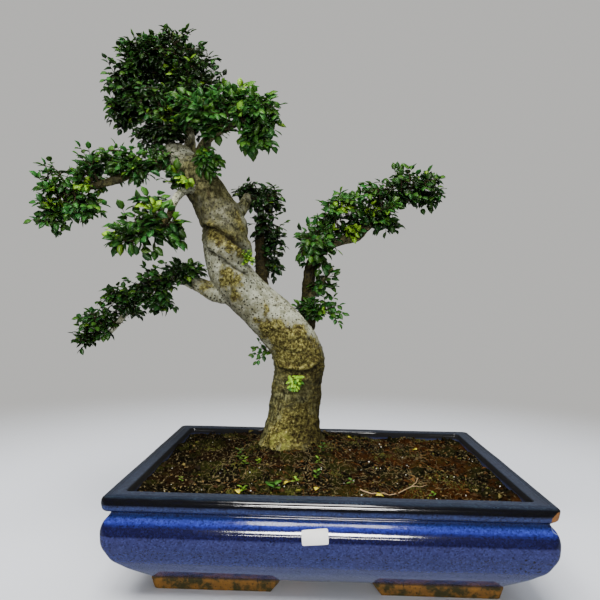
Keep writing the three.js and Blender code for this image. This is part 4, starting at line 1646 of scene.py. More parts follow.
    def grown(self) -> BMesh:
        """All limbs melted into one even skin.

        Returns:
            The skin as new work.
        """
        bm = bmesh.new()
        swept(bm, self.limb_rings(TRUNK, 44, 230, self.trunk_relief))
        for axis in (*BOUGHS.values(), *(self.root(h) for h in self.root_headings)):
            steps = 9 * (len(axis.points) - 1)
            swept(bm, self.limb_rings(axis, 14, steps, lambda t, a: 0.05 * math.sin(3 * a + 11 * t)))
        bmesh.ops.recalc_face_normals(bm, faces=bm.faces)
        holder = placed("limbs", meshed(bm, "limbs"))
        melt = holder.modifiers.new("melt", "REMESH")
        melt.mode = "VOXEL"
        melt.voxel_size = self.voxel
        melted = evaluated(holder)
        bpy.data.objects.remove(holder)
        grown = bmesh.new()
        absorb(grown, melted)
        for _ in range(4):
            bmesh.ops.smooth_vert(
                grown, verts=grown.verts, factor=0.5, use_axis_x=True, use_axis_y=True, use_axis_z=True
            )
        return grown

    @cached_property
    def limb_tree(self) -> tuple[KDTree, list[tuple[str, float]]]:
        """Points along all limbs, each with its limb's name and radius, for finding the nearest limb.

        Returns:
            The points' tree, and each point's limb and radius.
        """
        samples = []
        for name, axis in (("trunk", TRUNK), *BOUGHS.items()):
            count = 60 if name == "trunk" else 30
            samples += [(axis.place(k / count), name, axis.radius(k / count)) for k in range(count + 1)]
        return point_tree([point for point, _, _ in samples]), [(name, radius) for _, name, radius in samples]

    def tone_at(self, place: Vector, normal: Vector) -> Tone:
        """The tone of the bark at a point, by the limb that it belongs to and the way that it faces; its
        shade is painted shade.

        Args:
            place: the point.
            normal: the way that it faces.

        Returns:
            The tone.
        """
        tree, limbs = self.limb_tree
        nearest = min(tree.find_n(place, 12), key=lambda hit: hit[2] - limbs[hit[1]][1])
        name, radius = limbs[nearest[1]]
        if name != "trunk":
            # Painted shade on a bough: its listed shade, and more on its underside.
            out = clamped((nearest[2] - 0.1 * radius) / (0.7 * radius))
            tone = TONES["rightFoot" if name == "right" and place.z < 315 else name]
            # The middle left bough below the pale stub is painted deep in shade.
            if name == "middleLeft" and place.z < self.pale_stub_end:
                return Tone(0.0, 0.95)
            below = 0.45 * clamped(-1.3 * normal.z)
            return Tone(tone.smooth, max(below, tone.shade * out))
        pale = sum(share * hump(place.z, height, width, 4) for share, height, width in self.pale_zones)
        cut = 0.75 * hump((place - Vector(self.top_cut)).length, 0.0, 30, 4)
        # The knee is made paler and its painted underside shade weaker: partly paler bark, partly painted
        # light on the bulge that faces the light.
        knee = hump(place.z, *self.knee)
        back = clamped((300 - place.z) / 60) if place.y > 25 else 1.0
        # Painted shade on the trunk: on undersides, which are also made less pale; low on the right side,
        # partly its damper, darker bark; in the crown's shadow between about 334 and 396 mm up; and at the
        # foot's right side.
        below = clamped(-1.25 * normal.z - 0.05) * (1.0 - 0.75 * knee)
        right = clamped(1.5 * normal.x - 0.2) * clamped((222 - place.z) / 20)
        canopy_shadow = 0.30 * clamped((place.z - 334) / 16) * clamped((396 - place.z) / 16)
        foot = 0.4 * clamped((place.x + 38) / 10) * clamped((138 - place.z) / 14)
        smooth = min(1.0, pale + cut + 0.4 * knee) * (0.55 + 0.45 * back) * (1.0 - 0.45 * below)
        return Tone(smooth, min(0.8, 0.8 * below + 0.55 * right + canopy_shadow + foot))

    def crease_at(self, place: Vector, normal: Vector) -> tuple[float, float]:
        """The groove's depth and the relief of all folds at a point.

        Args:
            place: the point.
            normal: the way its surface faces.

        Returns:
            The groove from 0 to 1, which the bark darkens as painted shade, and the move along the normal in
            millimetres.
        """
        if normal.y > -0.1 or place.y > 25 or place.y < -30 or not -155 < place.x < 2:
            return 0.0, 0.0
        facing = min(1.0, -2.2 * normal.y)
        spot = place + 1.8 * noise.noise_vector(place / 7.0)
        deepest, move = 0.0, 0.0
        for crease in self.creases:
            groove, lip = crease.at(spot)
            deepest = max(deepest, groove * min(1.0, crease.depth / 2.0))
            move += crease.lip * lip - crease.depth * groove
        return deepest * facing, move * facing

    def moss_at(self, place: Vector) -> float:
        """How mossy a point is, from 0 to 1.

        Args:
            place: the point.

        Returns:
            The share.
        """
        spot = place + 8.0 * noise.noise_vector(place / 14.0) + 3.0 * noise.noise_vector(place / 5.0)
        patches = sum(
            share * math.exp(-(((spot - Vector(centre)).length / reach) ** 1.8))
            for centre, reach, share in self.mossy
            if abs(spot.z - centre[2]) < 2.2 * reach
        )
        low = 0.26 * clamped((205 - place.z) / 20) if place.x > -75 else 0.0
        return min(1.0, patches + low)

    def wrinkles(self, place: Vector) -> float:
        """Fine level wrinkles where the trunk bends, in millimetres.

        Args:
            place: the point.

        Returns:
            Their height.
        """
        zone = hump(place.z, 190, 30) + hump(place.z, 325, 26)
        flat = Vector((place.x / 14.0, place.y / 14.0, place.z / 3.6))
        return 1.3 * zone * noise.fractal(flat, 0.9, 2.0, 3)

    def build(self) -> Object:
        """The bark's relief and its attributes.

        Returns:
            The piece.
        """
        bm = self.grown()
        bm.normal_update()
        layers = {name: bm.verts.layers.float.new(name) for name in ("moss", "smooth", "crease", "shade")}
        moves = []
        for vert in bm.verts:
            place, normal = vert.co.copy(), vert.normal.copy()
            moss, tone = self.moss_at(place), self.tone_at(place, normal)
            groove, fold = self.crease_at(place, normal)
            # The crease and shade attributes carry painted shade.
            values = {"moss": moss, "smooth": tone.smooth, "crease": groove, "shade": tone.shade}
            for name, value in values.items():
                vert[layers[name]] = value
            lumps = 1.8 * noise.fractal(place / 14.0, 0.9, 2.0, 3)
            tall = Vector((place.x, place.y, place.z * 0.5))
            cracks = 1.1 * noise.turbulence(tall / 5.0, 3, True)
            crust = 1.3 * moss * abs(noise.fractal(place / 3.4, 0.8, 2.1, 3))
            relief = (1 - 0.7 * tone.smooth) * (lumps + cracks + self.wrinkles(place)) + crust + fold
            moves.append((vert, normal * relief))
        thin = BVHTree.FromBMesh(bm)
        for vert, move in moves:
            through = thin.ray_cast(vert.co - vert.normal * 0.05, -vert.normal, 14.0)[3]
            wall = 14.0 if through is None else through
            vert.co += move * min(1.0, wall / 14.0)
        bmesh.ops.recalc_face_normals(bm, faces=bm.faces)
        return finished(bm, "trunk_and_boughs", [Bark().material()], "tree_wood")


# Foliage


def leaf_blade(fold: float, arch: float, rows: int = 5, thickness: float = 0.035) -> BMesh:
    """One leaf blade a unit long: ovate with a toothed edge, thin, and folded along its rib.

    Args:
        fold: how far its halves are folded up.
        arch: how far its tip bends down.
        rows: rows of faces from stalk to tip.
        thickness: its thickness at the rib.

    Returns:
        The closed blade, with a UV map and a place for its tint.
    """
    bm = bmesh.new()
    bmesh.ops.create_grid(bm, x_segments=rows, y_segments=2, size=0.5)
    uv = bm.loops.layers.uv.new("blade")
    bm.verts.layers.float_color.new("tint")
    for face in bm.faces:
        for loop in face.loops:
            loop[uv].uv = (loop.vert.co.x + 0.5, loop.vert.co.y + 0.5)
    for vert in bm.verts:
        along = vert.co.x + 0.5
        row = round(along * rows)
        tooth = 1.0 + (0.08 if row % 2 else -0.06)
        half_width = 0.33 * math.sin(math.pi * along ** 0.82) ** 0.85 * tooth if 0 < row < rows else 0.0
        across = 2.0 * vert.co.y * half_width
        rise = fold * abs(across) - arch * (along - 0.25) ** 2 * 0.6
        vert.co = Vector((along, across, rise))
    copied = bmesh.ops.duplicate(bm, geom=list(bm.faces))["geom"]
    under = [f for f in copied if isinstance(f, bmesh.types.BMFace)]
    for vert in {v for face in under for v in face.verts}:
        if abs(vert.co.y) < 1e-5 and 1e-5 < vert.co.x < 1 - 1e-5:
            vert.co.z -= thickness
    bmesh.ops.reverse_faces(bm, faces=under)
    bmesh.ops.remove_doubles(bm, verts=bm.verts, dist=1e-5)
    bmesh.ops.dissolve_degenerate(bm, edges=bm.edges, dist=1e-6)
    return bm


@dataclass(frozen=True)
class Lobe:
    """A round mass of foliage: its middle, half sizes, and its share of the pad's leaves."""

    centre: Point
    half: Point
    share: float

    def point(self, rng: random.Random, low: float, high: float) -> Vector:
        """A random point between two shares of the way from the middle to the skin.

        Args:
            rng: the random draws.
            low: the nearest share.
            high: the farthest share.

        Returns:
            The point.
        """
        way = random_way(rng).normalized()
        reach = rng.uniform(low ** 3, high ** 3) ** (1 / 3)
        return Vector(c + h * reach * w for c, h, w in zip(self.centre, self.half, way))


@dataclass(frozen=True)
class Pad:
    """Foliage over a stretch of one bough, which stands for one node."""

    node: str
    bough: str
    start: float
    end: float
    leaf: float
    leaves: int
    # The pad's range of painted light, from painted shade at 0 to fully lit at 1.
    bright: tuple[float, float]
    lobes: tuple[Lobe, ...]
    young: tuple[tuple[float, float], ...] = ()


def lobes(*rows: tuple[float, ...]) -> tuple[Lobe, ...]:
    """Lobes from rows of x, y, z, half sizes and share."""
    return tuple(Lobe(row[0:3], row[3:6], row[6]) for row in rows)


# Each pad's bright range paints light and shade: pads in the shade of others, such as the crown's back, are
# painted darker, and the lit front pads brighter.
PADS = (
    Pad("spray_crown_left", "crownLeft", 0.3, 1.0, 10.8, 1750, (0.0, 0.70), lobes(
        (-234, 20, 507, 25, 38, 44, 8), (-238, 22, 478, 17, 30, 22, 3), (-213, 26, 541, 30, 36, 27, 5))),
    Pad("spray_crown_middle", "crownMiddle", 0.2, 1.0, 10.8, 2900, (0.0, 0.50), lobes(
        (-184, 26, 540, 42, 40, 35, 9), (-151, 16, 501, 32, 38, 42, 8), (-194, 2, 473, 38, 34, 28, 7),
        (-199, -2, 440, 18, 20, 18, 2), (-176, -14, 443, 20, 16, 12, 2)), ((-176, 460),)),
    Pad("spray_crown_back", "crownBack", 0.4, 1.0, 10.5, 1150, (0.0, 0.30), lobes(
        (-187, 64, 541, 48, 30, 34, 6), (-172, 58, 488, 38, 28, 32, 5))),
    Pad("spray_crown_right", "crownRight", 0.2, 1.0, 13.5, 1180, (0.55, 1.0), lobes(
        (-133, -34, 457, 36, 32, 20, 6), (-82, -38, 453, 33, 34, 26, 8), (-104, -34, 472, 25, 28, 14, 3),
        (-77, -40, 427, 19, 20, 15, 3), (-118, -38, 441, 22, 16, 10, 2),
        (-131, -32, 405, 14, 10, 15, 2)), ((-99, 480), (-65, 450))),
    Pad("spray_upper_left", "upperLeft", 0.05, 1.0, 11.5, 1500, (0.3, 1.0), lobes(
        (-182, -18, 414, 18, 16, 12, 2), (-206, -22, 406, 24, 20, 15, 3), (-204, -34, 394, 24, 10, 11, 3),
        (-228, -20, 408, 26, 26, 16, 3), (-253, -22, 398, 28, 32, 25, 5), (-282, -30, 380, 30, 34, 26, 5),
        (-291, -34, 349, 21, 28, 21, 4), (-259, -34, 356, 22, 28, 22, 4)), ((-258, 376), (-283, 360))),
    Pad("spray_middle_left", "middleLeft", 0.12, 1.0, 15.0, 460, (0.25, 1.0), lobes(
        (-184, -52, 352, 22, 22, 15, 3), (-195, -60, 332, 30, 28, 18, 5), (-210, -64, 313, 14, 18, 11, 2),
        (-175, -70, 318, 28, 22, 14, 4), (-164, -58, 336, 12, 14, 14, 2), (-160, -34, 388, 20, 14, 11, 3),
        (-170, -80, 334, 22, 8, 16, 3), (-192, -84, 322, 22, 8, 12, 2), (-151, -60, 331, 10, 10, 13, 2)),
        ((-164, 378), (-177, 347), (-211, 324))),
    Pad("spray_lower_left", "lowerLeft", 0.24, 1.0, 10.8, 1450, (0.05, 0.80), lobes(
        (-160, -4, 292, 27, 20, 14, 5), (-196, 6, 278, 30, 26, 21, 5), (-231, 16, 255, 31, 28, 24, 5),
        (-264, 26, 232, 27, 26, 22, 4), (-186, 4, 257, 19, 20, 13, 2), (-282, 32, 213, 15, 18, 12, 2))),
    Pad("spray_back", "back", 0.25, 1.0, 10.5, 1200, (0.0, 0.50), lobes(
        (-82, 78, 387, 31, 32, 23, 6), (-74, 80, 345, 26, 28, 31, 5), (-71, 78, 311, 18, 22, 24, 3),
        (-98, 74, 396, 18, 22, 13, 2))),
    Pad("spray_right_lower", "right", 0.16, 0.5, 12.5, 620, (0.25, 1.0), lobes(
        (-14, 38, 326, 27, 32, 28, 7), (-4, 38, 284, 18, 24, 20, 2), (-20, 34, 252, 17, 14, 12, 4)),
        ((5, 345), (-4, 252), (12, 253))),
    Pad("spray_right_middle", "right", 0.5, 0.78, 12.5, 880, (0.15, 0.9), lobes(
        (17, 44, 365, 35, 34, 30, 7), (53, 46, 377, 32, 32, 27, 5), (70, 48, 353, 26, 20, 9, 2)),
        ((17, 368), (27, 342), (49, 373))),
    Pad("spray_right_end", "right", 0.8, 1.0, 12.0, 640, (0.05, 0.75), lobes(
        (87, 54, 398, 32, 32, 24, 5), (115, 60, 398, 22, 28, 24, 4))),
)


@dataclass(frozen=True)
class Shoot:
    """A small leafy shoot straight from the trunk, which stands for one node."""

    node: str
    start: Point
    tip: Point
    leaf: float
    young: bool


SHOOTS = (
    Shoot("shoot_base_bright", (-42, 11, 182), (-31, -14, 171), 8.0, True),
    Shoot("shoot_base_dark", (-54, 26, 197), (-80, 16, 208), 8.0, False),
    Shoot("shoot_fold_bright", (-95, -3, 300), (-82, -29, 308), 7.0, True),
    Shoot("shoot_top_bright", (-147, -20, 390), (-150, -44, 380), 11.0, True),
    Shoot("shoot_top_right", (-140, -10, 392), (-120, -30, 406), 10.0, False),
    Shoot("shoot_right_foot", (-20, 48, 238), (14, 38, 258), 10.0, False),
)


@dataclass
class Foliage:
    """Leafy twigs: it makes fresh blades for each pad and shoot and grows each from them."""

    wood: BVHTree
    rng: random.Random = field(default_factory=lambda: random.Random(SEED + 1))
    blades: tuple[tuple[float, float], ...] = ((0.20, 0.30), (0.30, 0.12), (0.12, 0.50), (0.36, 0.36))
    inner_blades: tuple[tuple[float, float], ...] = ((0.15, 0.25), (0.30, 0.45))
    # Leaves painted darker than this, deep in the painted shade, get blades with fewer faces.
    inner_tint: float = 0.22
    leaf_gap: float = 0.42
    leafy_length: float = 34.0

    @cached_property
    def finishes(self) -> list[Material]:
        """Leaf and twig finishes, shared by all pads."""
        twig = Matt("twig_bark", (0.060, 0.040, 0.018), (0.022, 0.016, 0.008), 5.0)
        return [Leaf().material(), twig.material()]

    def stamp(self) -> Stamp:
        """A stamp with all the blades; the inner leaves, painted dark, have fewer faces."""
        outer = [leaf_blade(fold, arch) for fold, arch in self.blades]
        return Stamp(outer + [leaf_blade(fold, arch, 3) for fold, arch in self.inner_blades])

    def press_leaf(
        self, stamp: Stamp, place: Vector, way: Vector, face: Vector, size: float, tint: Colour
    ) -> None:
        """Presses one leaf unless the wood is in its way.

        Args:
            stamp: the blades.
            place: where the leaf is held.
            way: where it points.
            face: where its upper face looks.
            size: its length.
            tint: its brightness, youth and warmth.
        """
        x = way.normalized()
        z = (face - x * face.dot(x)).normalized()
        y = z.cross(x)
        middle = place + x * size * 0.55
        nearest = self.wood.find_nearest(middle)[3]
        if nearest is not None and nearest < 0.22 * size:
            return
        turn = Matrix((x, y, z)).transposed().to_4x4()
        variant = self.rng.randrange(len(self.blades))
        if tint[0] < self.inner_tint:
            variant = len(self.blades) + variant % len(self.inner_blades)
        stamp.press(seated(place, turn, size), variant, tint)

    def wobble(self, size: float) -> Vector:
        """A random vector of about a size."""
        return size * random_way(self.rng)

    def twig_line(self, start: Vector, tip: Vector, radius: float) -> Line:
        """A slightly bent twig from start to tip.

        Args:
            start: its root.
            tip: its end.
            radius: its radius at the root.

        Returns:
            Its points with their radii.
        """
        length = (tip - start).length
        bend = (start + tip) / 2 + self.wobble(0.07 * length) + Vector((0, 0, 0.07 * length))
        line = []
        for k in range(6):
            t = k / 5
            place = start * (1 - t) ** 2 + 2 * bend * t * (1 - t) + tip * t * t
            line.append((place, radius * (1 - 0.55 * t)))
        return line

    def dress_twig(
        self, stamp: Stamp, line: Line, size: float, outward: Vector,
        tint: Callable[[Vector], Colour],
    ) -> None:
        """Sets leaves in two ranks along the outer part of a twig, and one at its tip.

        Args:
            stamp: the blades.
            line: the twig.
            size: the leaves' length.
            outward: the way out of the pad.
            tint: gives each leaf's colour.
        """
        places = [place for place, _ in line]
        lengths = [(b - a).length for a, b in zip(places, places[1:])]
        total = sum(lengths)
        position = max(0.12 * total, total - self.leafy_length)
        side = self.rng.choice((-1, 1))
        while position < total:
            share = position / total * (len(places) - 1)
            low = min(int(share), len(places) - 2)
            place = places[low].lerp(places[low + 1], share - low)
            ahead = (places[low + 1] - places[low]).normalized()
            face = (Vector((0, -0.35, 0.75)) + 0.45 * outward + self.wobble(0.38)).normalized()
            across = face.cross(ahead).normalized() * side
            way = ahead * 0.62 + across * 0.8 + Vector((0, 0, -0.12)) + self.wobble(0.12)
            shrink = 0.72 + 0.28 * min(1.0, (total - position) / (1.4 * size))
            length = size * shrink * self.rng.uniform(0.8, 1.15)
            self.press_leaf(stamp, place, way, face, length, tint(place))
            side = -side
            position += self.leaf_gap * size * self.rng.uniform(0.75, 1.2)
        ahead = (places[-1] - places[-2]).normalized()
        face = (Vector((0, -0.3, 0.8)) + 0.4 * outward + self.wobble(0.3)).normalized()
        self.press_leaf(stamp, places[-1], ahead + self.wobble(0.1), face, size * 0.8, tint(places[-1]))

    def pad_tint(self, pad: Pad) -> Callable[[Vector], Colour]:
        """The rule for a pad's leaf colours: painted light outside, above and in front, painted shade deep
        inside, some random tone, and lime at the young tips.

        Args:
            pad: the pad.

        Returns:
            A function from a leaf's place to its brightness, youth and warmth.
        """
        low, high = pad.bright

        def tint(place: Vector) -> Colour:
            """The colour of a leaf at a place.

            Args:
                place: the leaf's place.

            Returns:
                Its brightness, youth and warmth.
            """
            lobe = min(pad.lobes, key=lambda item: (place - Vector(item.centre)).length)
            offset = place - Vector(lobe.centre)
            # Painted light and shade: brighter above and in front, darker deep in the lobe, with some random
            # tone.
            above = 0.5 + 0.5 * offset.z / lobe.half[2]
            front = 0.5 - 0.5 * offset.y / lobe.half[1]
            depth = Vector(o / h for o, h in zip(offset, lobe.half)).length
            share = 0.5 * above + 0.35 * front + 0.35 * self.rng.gauss(0, 1)
            share = clamped(share * min(1.0, max(0.1, 1.7 * depth - 0.5)))
            youth = 0.0
            for x, z in pad.young:
                if math.hypot(place.x - x, place.z - z) < 6.5 and offset.y < 6.0:
                    youth = self.rng.uniform(0.5, 1.0)
            if self.rng.random() < 0.025:
                youth = max(youth, self.rng.uniform(0.15, 0.5))
            return low + (high - low) * share, youth, self.rng.random()

        return tint

    def grow_pad(self, pad: Pad) -> Object:
        """One pad: branchlets from the bough, twigs from the branchlets, leaves on the twigs.

        Args:
            pad: the pad.

        Returns:
            The piece.
        """
        axis = BOUGHS[pad.bough]
        places = [axis.place(pad.start + (pad.end - pad.start) * k / 24) for k in range(25)]
        total = sum(lobe.share for lobe in pad.lobes)
        per_twig = min(self.leafy_length, 24.0) / (self.leaf_gap * pad.leaf) + 1
        tint = self.pad_tint(pad)
        lines = []
        with self.stamp() as stamp:
            for lobe in pad.lobes:
                twigs = max(3, round(pad.leaves * lobe.share / total / per_twig))
                holds = []
                for _ in range(max(2, twigs // 5)):
                    tip = lobe.point(self.rng, 0.15, 0.72)
                    root = min(places, key=lambda p: (p - tip).length)
                    line = self.twig_line(root, tip, min(1.3, 0.6 + (tip - root).length / 70))
                    lines.append(line)
                    holds += [place for place, _ in line[2:]]
                holds += [p for p in places if (p - Vector(lobe.centre)).length < max(lobe.half)]
                for _ in range(twigs):
                    tip = lobe.point(self.rng, 0.3, 1.0)
                    root = min(holds, key=lambda p: abs((p - tip).length - 17.0))
                    if (tip - root).length > 1.5 * self.leafy_length:
                        root = tip.lerp(root, 1.5 * self.leafy_length / (tip - root).length)
                    line = self.twig_line(root, tip, 0.5)
                    lines.append(line)
                    outward = (tip - Vector(lobe.centre)).normalized()
                    self.dress_twig(stamp, line, pad.leaf, outward, tint)
            return self.leafy_piece(stamp, lines, pad.node)

    def grow_shoot(self, shoot: Shoot) -> Object:
        """One small shoot with side twigs.

        Args:
            shoot: the shoot.

        Returns:
            The piece.
        """
        start, tip = Vector(shoot.start), Vector(shoot.tip)
        youth = 1.0 if shoot.young else 0.0

        def tint(_: Vector) -> Colour:
            """A shoot's leaf colour, of one of a few ages."""
            fresh = self.rng.choice((0.1, 0.8, 0.9, 1.0))
            return 0.5 + 0.4 * self.rng.random(), youth * fresh, self.rng.random()

        ahead = (tip - start).normalized()
        lines = [self.twig_line(start, tip, 0.75)]
        middle = start.lerp(tip, 0.55)
        for turn in (-1.2, -0.6, 0.6, 1.2):
            away = Matrix.Rotation(turn, 3, "Y") @ ahead
            lines.append(self.twig_line(middle, middle + away * (tip - start).length * 0.5, 0.5))
        with self.stamp() as stamp:
            for line in lines:
                self.dress_twig(stamp, line, shoot.leaf, Vector((0, -1, 0.2)), tint)
            return self.leafy_piece(stamp, lines, shoot.node)

    def leafy_piece(
        self, stamp: Stamp, lines: Sequence[Line], node: str
    ) -> Object:
        """Leaves and twigs as one piece.

        Args:
            stamp: the blades, pressed.
            lines: the twigs.
            node: the node that it stands for.

        Returns:
            The piece.
        """
        add_stems(stamp.bm, lines)
        name = node.replace("spray", "leaves").replace("shoot", "young_shoot")
        return finished(stamp.bm, name, self.finishes, node)


# Litter


@dataclass(frozen=True)
class DryLeaf:
    """Fallen leaves: the tint attribute's red goes from rotten brown over rust and tan to yellow."""

    stops: tuple[tuple[float, Colour], ...] = (
        (0.0, (0.006, 0.004, 0.001)), (0.3, (0.045, 0.021, 0.005)), (0.5, (0.12, 0.050, 0.010)),
        (0.7, (0.20, 0.14, 0.050)), (0.85, (0.12, 0.13, 0.018)), (1.0, (0.72, 0.62, 0.05)),
    )

    def material(self) -> Material:
        """Dull leaf with a darker rib.

        Returns:
            The material.
        """
        g = Graph("dry_leaf")
        base = g.ramp(g.tint()[0], self.stops)
        mottle = g.between(g.noise(g.place(), 1.6, 4.0), 0.35, 0.65)
        colour = g.over(base, g.tinted(base, (0.45, 0.38, 0.32)), mottle, 0.6)
        return g.finish(colour, 0.75, g.bump(mottle, 0.4, 0.2), Specular_IOR_Level=0.2)


@dataclass(frozen=True)
class Seedling:
    """One small plant in the soil."""

    x: float
    y: float
    height: float
    leaf: float
    pairs: int
    youth: float


@dataclass
class Litter:
    """Fallen leaves and seedlings on the soil."""

    ground: Ground
    finishes: Sequence[Material]
    fallen: int = 1000
    bright_leaves: tuple[tuple[float, float, float], ...] = (
        (43, -103, 0.0), (110, 58, 2.4), (-11, -97, 1.1), (-35, -80, 4.0), (-83, -100, 5.2), (30, 96, 0.7),
    )
    seedlings: tuple[Seedling, ...] = tuple(Seedling(*row) for row in (
        (-91, -12, 11, 6.0, 3, 0.25), (-3, -4, 12, 6.0, 3, 0.1), (-82, -41, 8, 5.5, 3, 0.6),
        (-49, -91, 6, 13.0, 2, 0.0), (-78, -99, 6, 6.0, 3, 0.7), (-11, -61, 10, 5.0, 4, 0.3),
        (-30, -76, 6, 5.0, 2, 0.8), (-70, -30, 5, 4.0, 3, 0.9), (22, -84, 5, 5.0, 2, 0.2),
        (-140, -70, 5, 4.0, 2, 0.4), (95, -98, 5, 4.5, 2, 0.3), (-8, -36, 7, 4.5, 3, 0.5),
    ))
    rng: random.Random = field(default_factory=lambda: random.Random(SEED + 2))

    def leaf_matrix(self, x: float, y: float, size: float, turn: float, lean: float) -> Matrix:
        """A fallen leaf's placement.

        Args:
            x: the place along the pot.
            y: the place across it.
            size: the leaf's length.
            turn: its turn about the vertical.
            lean: the most that it leans.

        Returns:
            The placement.
        """
        flat = Matrix.Rotation(turn, 4, "Z") @ Matrix.Rotation(self.rng.uniform(-lean, lean), 4, "Y")
        roll = Matrix.Rotation(self.rng.uniform(-lean, lean), 4, "X")
        place = Vector((x, y, self.ground.height(x, y) + 0.7 + 0.12 * size))
        return seated(place, flat @ roll, size)

    def fallen_leaves(self) -> Object:
        """Curled dead leaves, more of them rusty on the right.

        Returns:
            The piece.
        """
        blades = [leaf_blade(0.5, 0.8, 4), leaf_blade(0.1, 1.2, 4), leaf_blade(0.9, 0.3, 4)]
        with Stamp(blades) as stamp:
            for number in range(self.fallen):
                x, y = self.ground.spot(7.0)
                right = clamped((x + 30) / 100)
                shade = self.rng.betavariate(1.2, 2.6) * (0.5 + 0.3 * right)
                if number % 4 == 0:
                    shade = self.rng.uniform(0.62, 0.88)
                size = min(7.0, 1.8 + self.rng.expovariate(0.65))
                matrix = self.leaf_matrix(x, y, size, self.rng.uniform(0, math.tau), 0.7)
                stamp.press(matrix, self.rng.randrange(3), (shade, 0.0, 0.0))
            for x, y, turn in self.bright_leaves:
                stamp.press(self.leaf_matrix(x, y, 8.0, turn, 0.25), 0, (1.0, 0.0, 0.0))
            return finished(stamp.bm, "fallen_leaves", [DryLeaf().material()])

    def sprouted(self) -> Object:
        """The seedlings.

        Returns:
            The piece.
        """
        lines = []
        with Stamp([leaf_blade(0.25, 0.35), leaf_blade(0.1, 0.6)]) as stamp:
            for plant in self.seedlings:
                foot = Vector((plant.x, plant.y, self.ground.height(plant.x, plant.y) - 1.0))
                lean = Vector((self.rng.uniform(-0.3, 0.3), self.rng.uniform(-0.3, 0.1), 1.0))
                line = [(foot + lean * plant.height * k / 4, 0.42 - 0.05 * k) for k in range(5)]
                lines.append(line)
                turn = self.rng.uniform(0, math.pi)
                for pair in range(plant.pairs):
                    share = (pair + 1.2) / (plant.pairs + 0.2)
                    hold = foot + lean * plant.height * min(1.0, share)
                    turn += math.pi / 2 + self.rng.uniform(-0.4, 0.4)
                    for side in (0.0, math.pi):
                        rise = Matrix.Rotation(-self.rng.uniform(0.1, 0.7), 4, "Y")
                        spin = Matrix.Rotation(turn + side, 4, "Z")
                        size = plant.leaf * self.rng.uniform(0.8, 1.1)
                        matrix = seated(hold, spin @ rise, size)
                        light, youth = self.rng.uniform(0.5, 1.0), plant.youth * self.rng.uniform(0.6, 1.0)
                        tint = (light, youth, self.rng.random())
                        stamp.press(matrix, self.rng.randrange(2), tint)
            add_stems(stamp.bm, lines)
            return finished(stamp.bm, "seedlings", self.finishes)


# Stage


@dataclass(frozen=True)
class Lamp:
    """A soft area light that faces a goal, in metres and watts; dull or glossy surfaces may ignore it."""

    name: str
    place: Point
    goal: Point
    size: tuple[float, float]
    power: float
    colour: Colour
    shape: str = "RECTANGLE"
    dull: bool = True
    gloss: bool = True

    def build(self) -> None:
        """Hangs the light in its place."""
        data = bpy.data.lights.new(self.name, "AREA")
        data.shape = self.shape
        data.size, data.size_y = self.size
        data.energy = self.power
        data.color = self.colour
        lamp = placed(self.name, data)
        lamp.location = self.place
        lamp.rotation_euler = (Vector(self.goal) - Vector(self.place)).to_track_quat("-Z", "Y").to_euler()
        lamp.visible_camera = False
        lamp.visible_diffuse = self.dull
        lamp.visible_glossy = self.gloss


DAYLIGHT = (1.0, 0.99, 0.97)
TABLE_TINT = (0.78, 0.90, 1.15)
WINDOW_PLACE = (0.10, -1.75, 0.62)
WINDOW_SIZE = (0.60, 0.24)
LAMPS = (
    Lamp("window", WINDOW_PLACE, (0.05, -0.14, 0.07), WINDOW_SIZE, 32.0, DAYLIGHT, "ELLIPSE", dull=False),
    Lamp("low_strip", (0.08, -1.55, 0.20), (0.05, -0.14, 0.06), (0.50, 0.035), 4.0, DAYLIGHT, dull=False),
    Lamp("table_glow", (0.0, 0.11, 0.001), (0.0, 0.11, 1.0), (2.0, 0.77), 1.0, TABLE_TINT, dull=False),
    Lamp("fill", WINDOW_PLACE, (0.05, -0.14, 0.10), WINDOW_SIZE, 15.0, DAYLIGHT, "ELLIPSE", gloss=False),
    Lamp("ceiling", (0.05, -0.75, 2.0), (0.0, 0.0, 0.15), (0.62, 1.2), 38.0, (1.0, 0.98, 0.94)),
    Lamp("key", (-0.75, -0.75, 2.0), (0.0, 0.0, 0.2), (1.1, 0.9), 56.0, (1.0, 0.98, 0.93), gloss=False),
    Lamp("back_light", (0.7, 1.1, 1.6), (0.0, 0.0, 0.2), (1.2, 0.9), 20.0, (0.96, 0.98, 1.0), gloss=False),
)


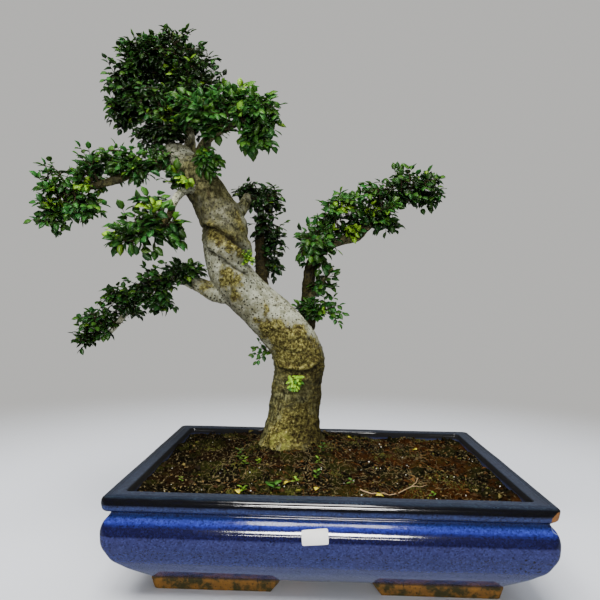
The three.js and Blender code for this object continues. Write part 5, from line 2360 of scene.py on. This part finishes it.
@dataclass
class Studio:
    """A pale floor, soft light from windows in front, and the camera at the photograph's place."""

    camera_place: Point = (-14.3, -605.1, 254.1)
    yaw: float = math.radians(1.55)
    pitch: float = math.radians(0.8)
    roll: float = math.radians(-1.03)
    lens: float = 33.24
    sensor: float = 36.0
    room_colour: Colour = (1.0, 0.99, 0.955)
    floor_colour: Colour = (0.70, 0.73, 0.80)
    floor_fade: tuple[float, float] = (420.0, 1150.0)
    base_strength: float = 0.10
    seen_extra: float = 0.49
    lit_extra: float = 0.05

    def camera(self) -> None:
        """The camera, turned by yaw, pitch and roll from looking along +Y."""
        data = bpy.data.cameras.new("camera")
        data.lens = self.lens
        data.sensor_width = self.sensor
        data.clip_start = 0.01
        data.clip_end = 50.0
        turn = Matrix.Identity(3)
        for angle, axis in ((self.yaw, "Z"), (self.pitch, "X"), (self.roll, "Y")):
            turn = turn @ Matrix.Rotation(angle, 3, axis)
        right, forward, up = turn.col
        columns = Matrix((right, up, -forward)).transposed().to_4x4()
        camera = placed("camera", data)
        camera.matrix_world = Matrix.Translation(TO_SCENE @ Vector(self.camera_place)) @ columns
        bpy.context.scene.camera = camera

    def room(self) -> None:
        """A pale room: what the camera sees of it is lighter than what it lights and mirrors."""
        world = bpy.data.worlds.new("room")
        bpy.context.scene.world = world
        g = Graph("room", world)
        rays = g.add("ShaderNodeLightPath", {}).outputs
        strength = self.base_strength
        for output, extra in (("Is Camera Ray", self.seen_extra), ("Is Diffuse Ray", self.lit_extra)):
            inputs = {0: rays[output], 1: extra, 2: strength}
            strength = g.add("ShaderNodeMath", inputs, operation="MULTIPLY_ADD").outputs[0]
        g.feed(g.nodes["Background"].inputs["Color"], self.room_colour)
        g.feed(g.nodes["Background"].inputs["Strength"], strength)

    def floor_finish(self) -> Material:
        """A pale matt floor that clears away with distance, so that no horizon shows behind the pot.

        Returns:
            The material.
        """
        g = Graph("pale_floor")
        far = g.add("ShaderNodeVectorMath", {0: g.place()}, operation="LENGTH").outputs["Value"]
        clear = g.add("ShaderNodeBsdfTransparent", {}).outputs["BSDF"]
        material = g.finish(self.floor_colour, 0.6)
        share = g.between(far, *self.floor_fade)
        dull = g.first("BSDF_PRINCIPLED").outputs["BSDF"]
        mixed = g.add("ShaderNodeMixShader", {"Fac": share, 1: dull, 2: clear}).outputs["Shader"]
        g.feed(g.first("OUTPUT_MATERIAL").inputs["Surface"], mixed)
        return material

    def build(self) -> None:
        """Floor, sky and lights."""
        bm = bmesh.new()
        bmesh.ops.create_grid(bm, x_segments=1, y_segments=1, size=6.0)
        mesh = meshed(bm, "floor")
        mesh.materials.append(self.floor_finish())
        floor = placed("floor", mesh)
        floor.visible_glossy = False
        self.room()
        for lamp in LAMPS:
            lamp.build()
        self.camera()


def dress_screens() -> None:
    """Black moulded plastic on the two drain screens."""
    plastic = Matt("black_plastic", (0.012, 0.012, 0.012), (0.022, 0.022, 0.022), 1.5, 0.5).material()
    for node in ("drain_screen_left", "drain_screen_right"):
        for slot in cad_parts[node].material_slots:
            slot.material = plastic
        LOG.info("%s: black plastic", node)


def main() -> None:
    """Builds the bonsai piece by piece and sets the stage."""
    logging.basicConfig(level=logging.INFO, format="%(message)s")
    noise.seed_set(SEED)
    glaze = Glaze()
    pot = Pot()
    pot.body(glaze)
    pot.feet()
    Label().build(pot)
    dress_screens()
    earth = Earth().material()
    ground = Ground()
    ground.field(earth)
    ground.crumbs(earth)
    ground.grit()
    ground.strands()
    ground.moss()
    ground.pale_twig()
    trunk = Wood().build()
    skin = bmesh.new()
    skin.from_mesh(trunk.data)
    skin.transform(TO_SCENE.inverted())
    foliage = Foliage(BVHTree.FromBMesh(skin))
    skin.free()
    for pad in PADS:
        foliage.grow_pad(pad)
    for shoot in SHOOTS:
        foliage.grow_shoot(shoot)
    litter = Litter(ground, foliage.finishes)
    litter.fallen_leaves()
    litter.sprouted()
    Studio().build()
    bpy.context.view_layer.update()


if __name__ == "__main__":
    main()
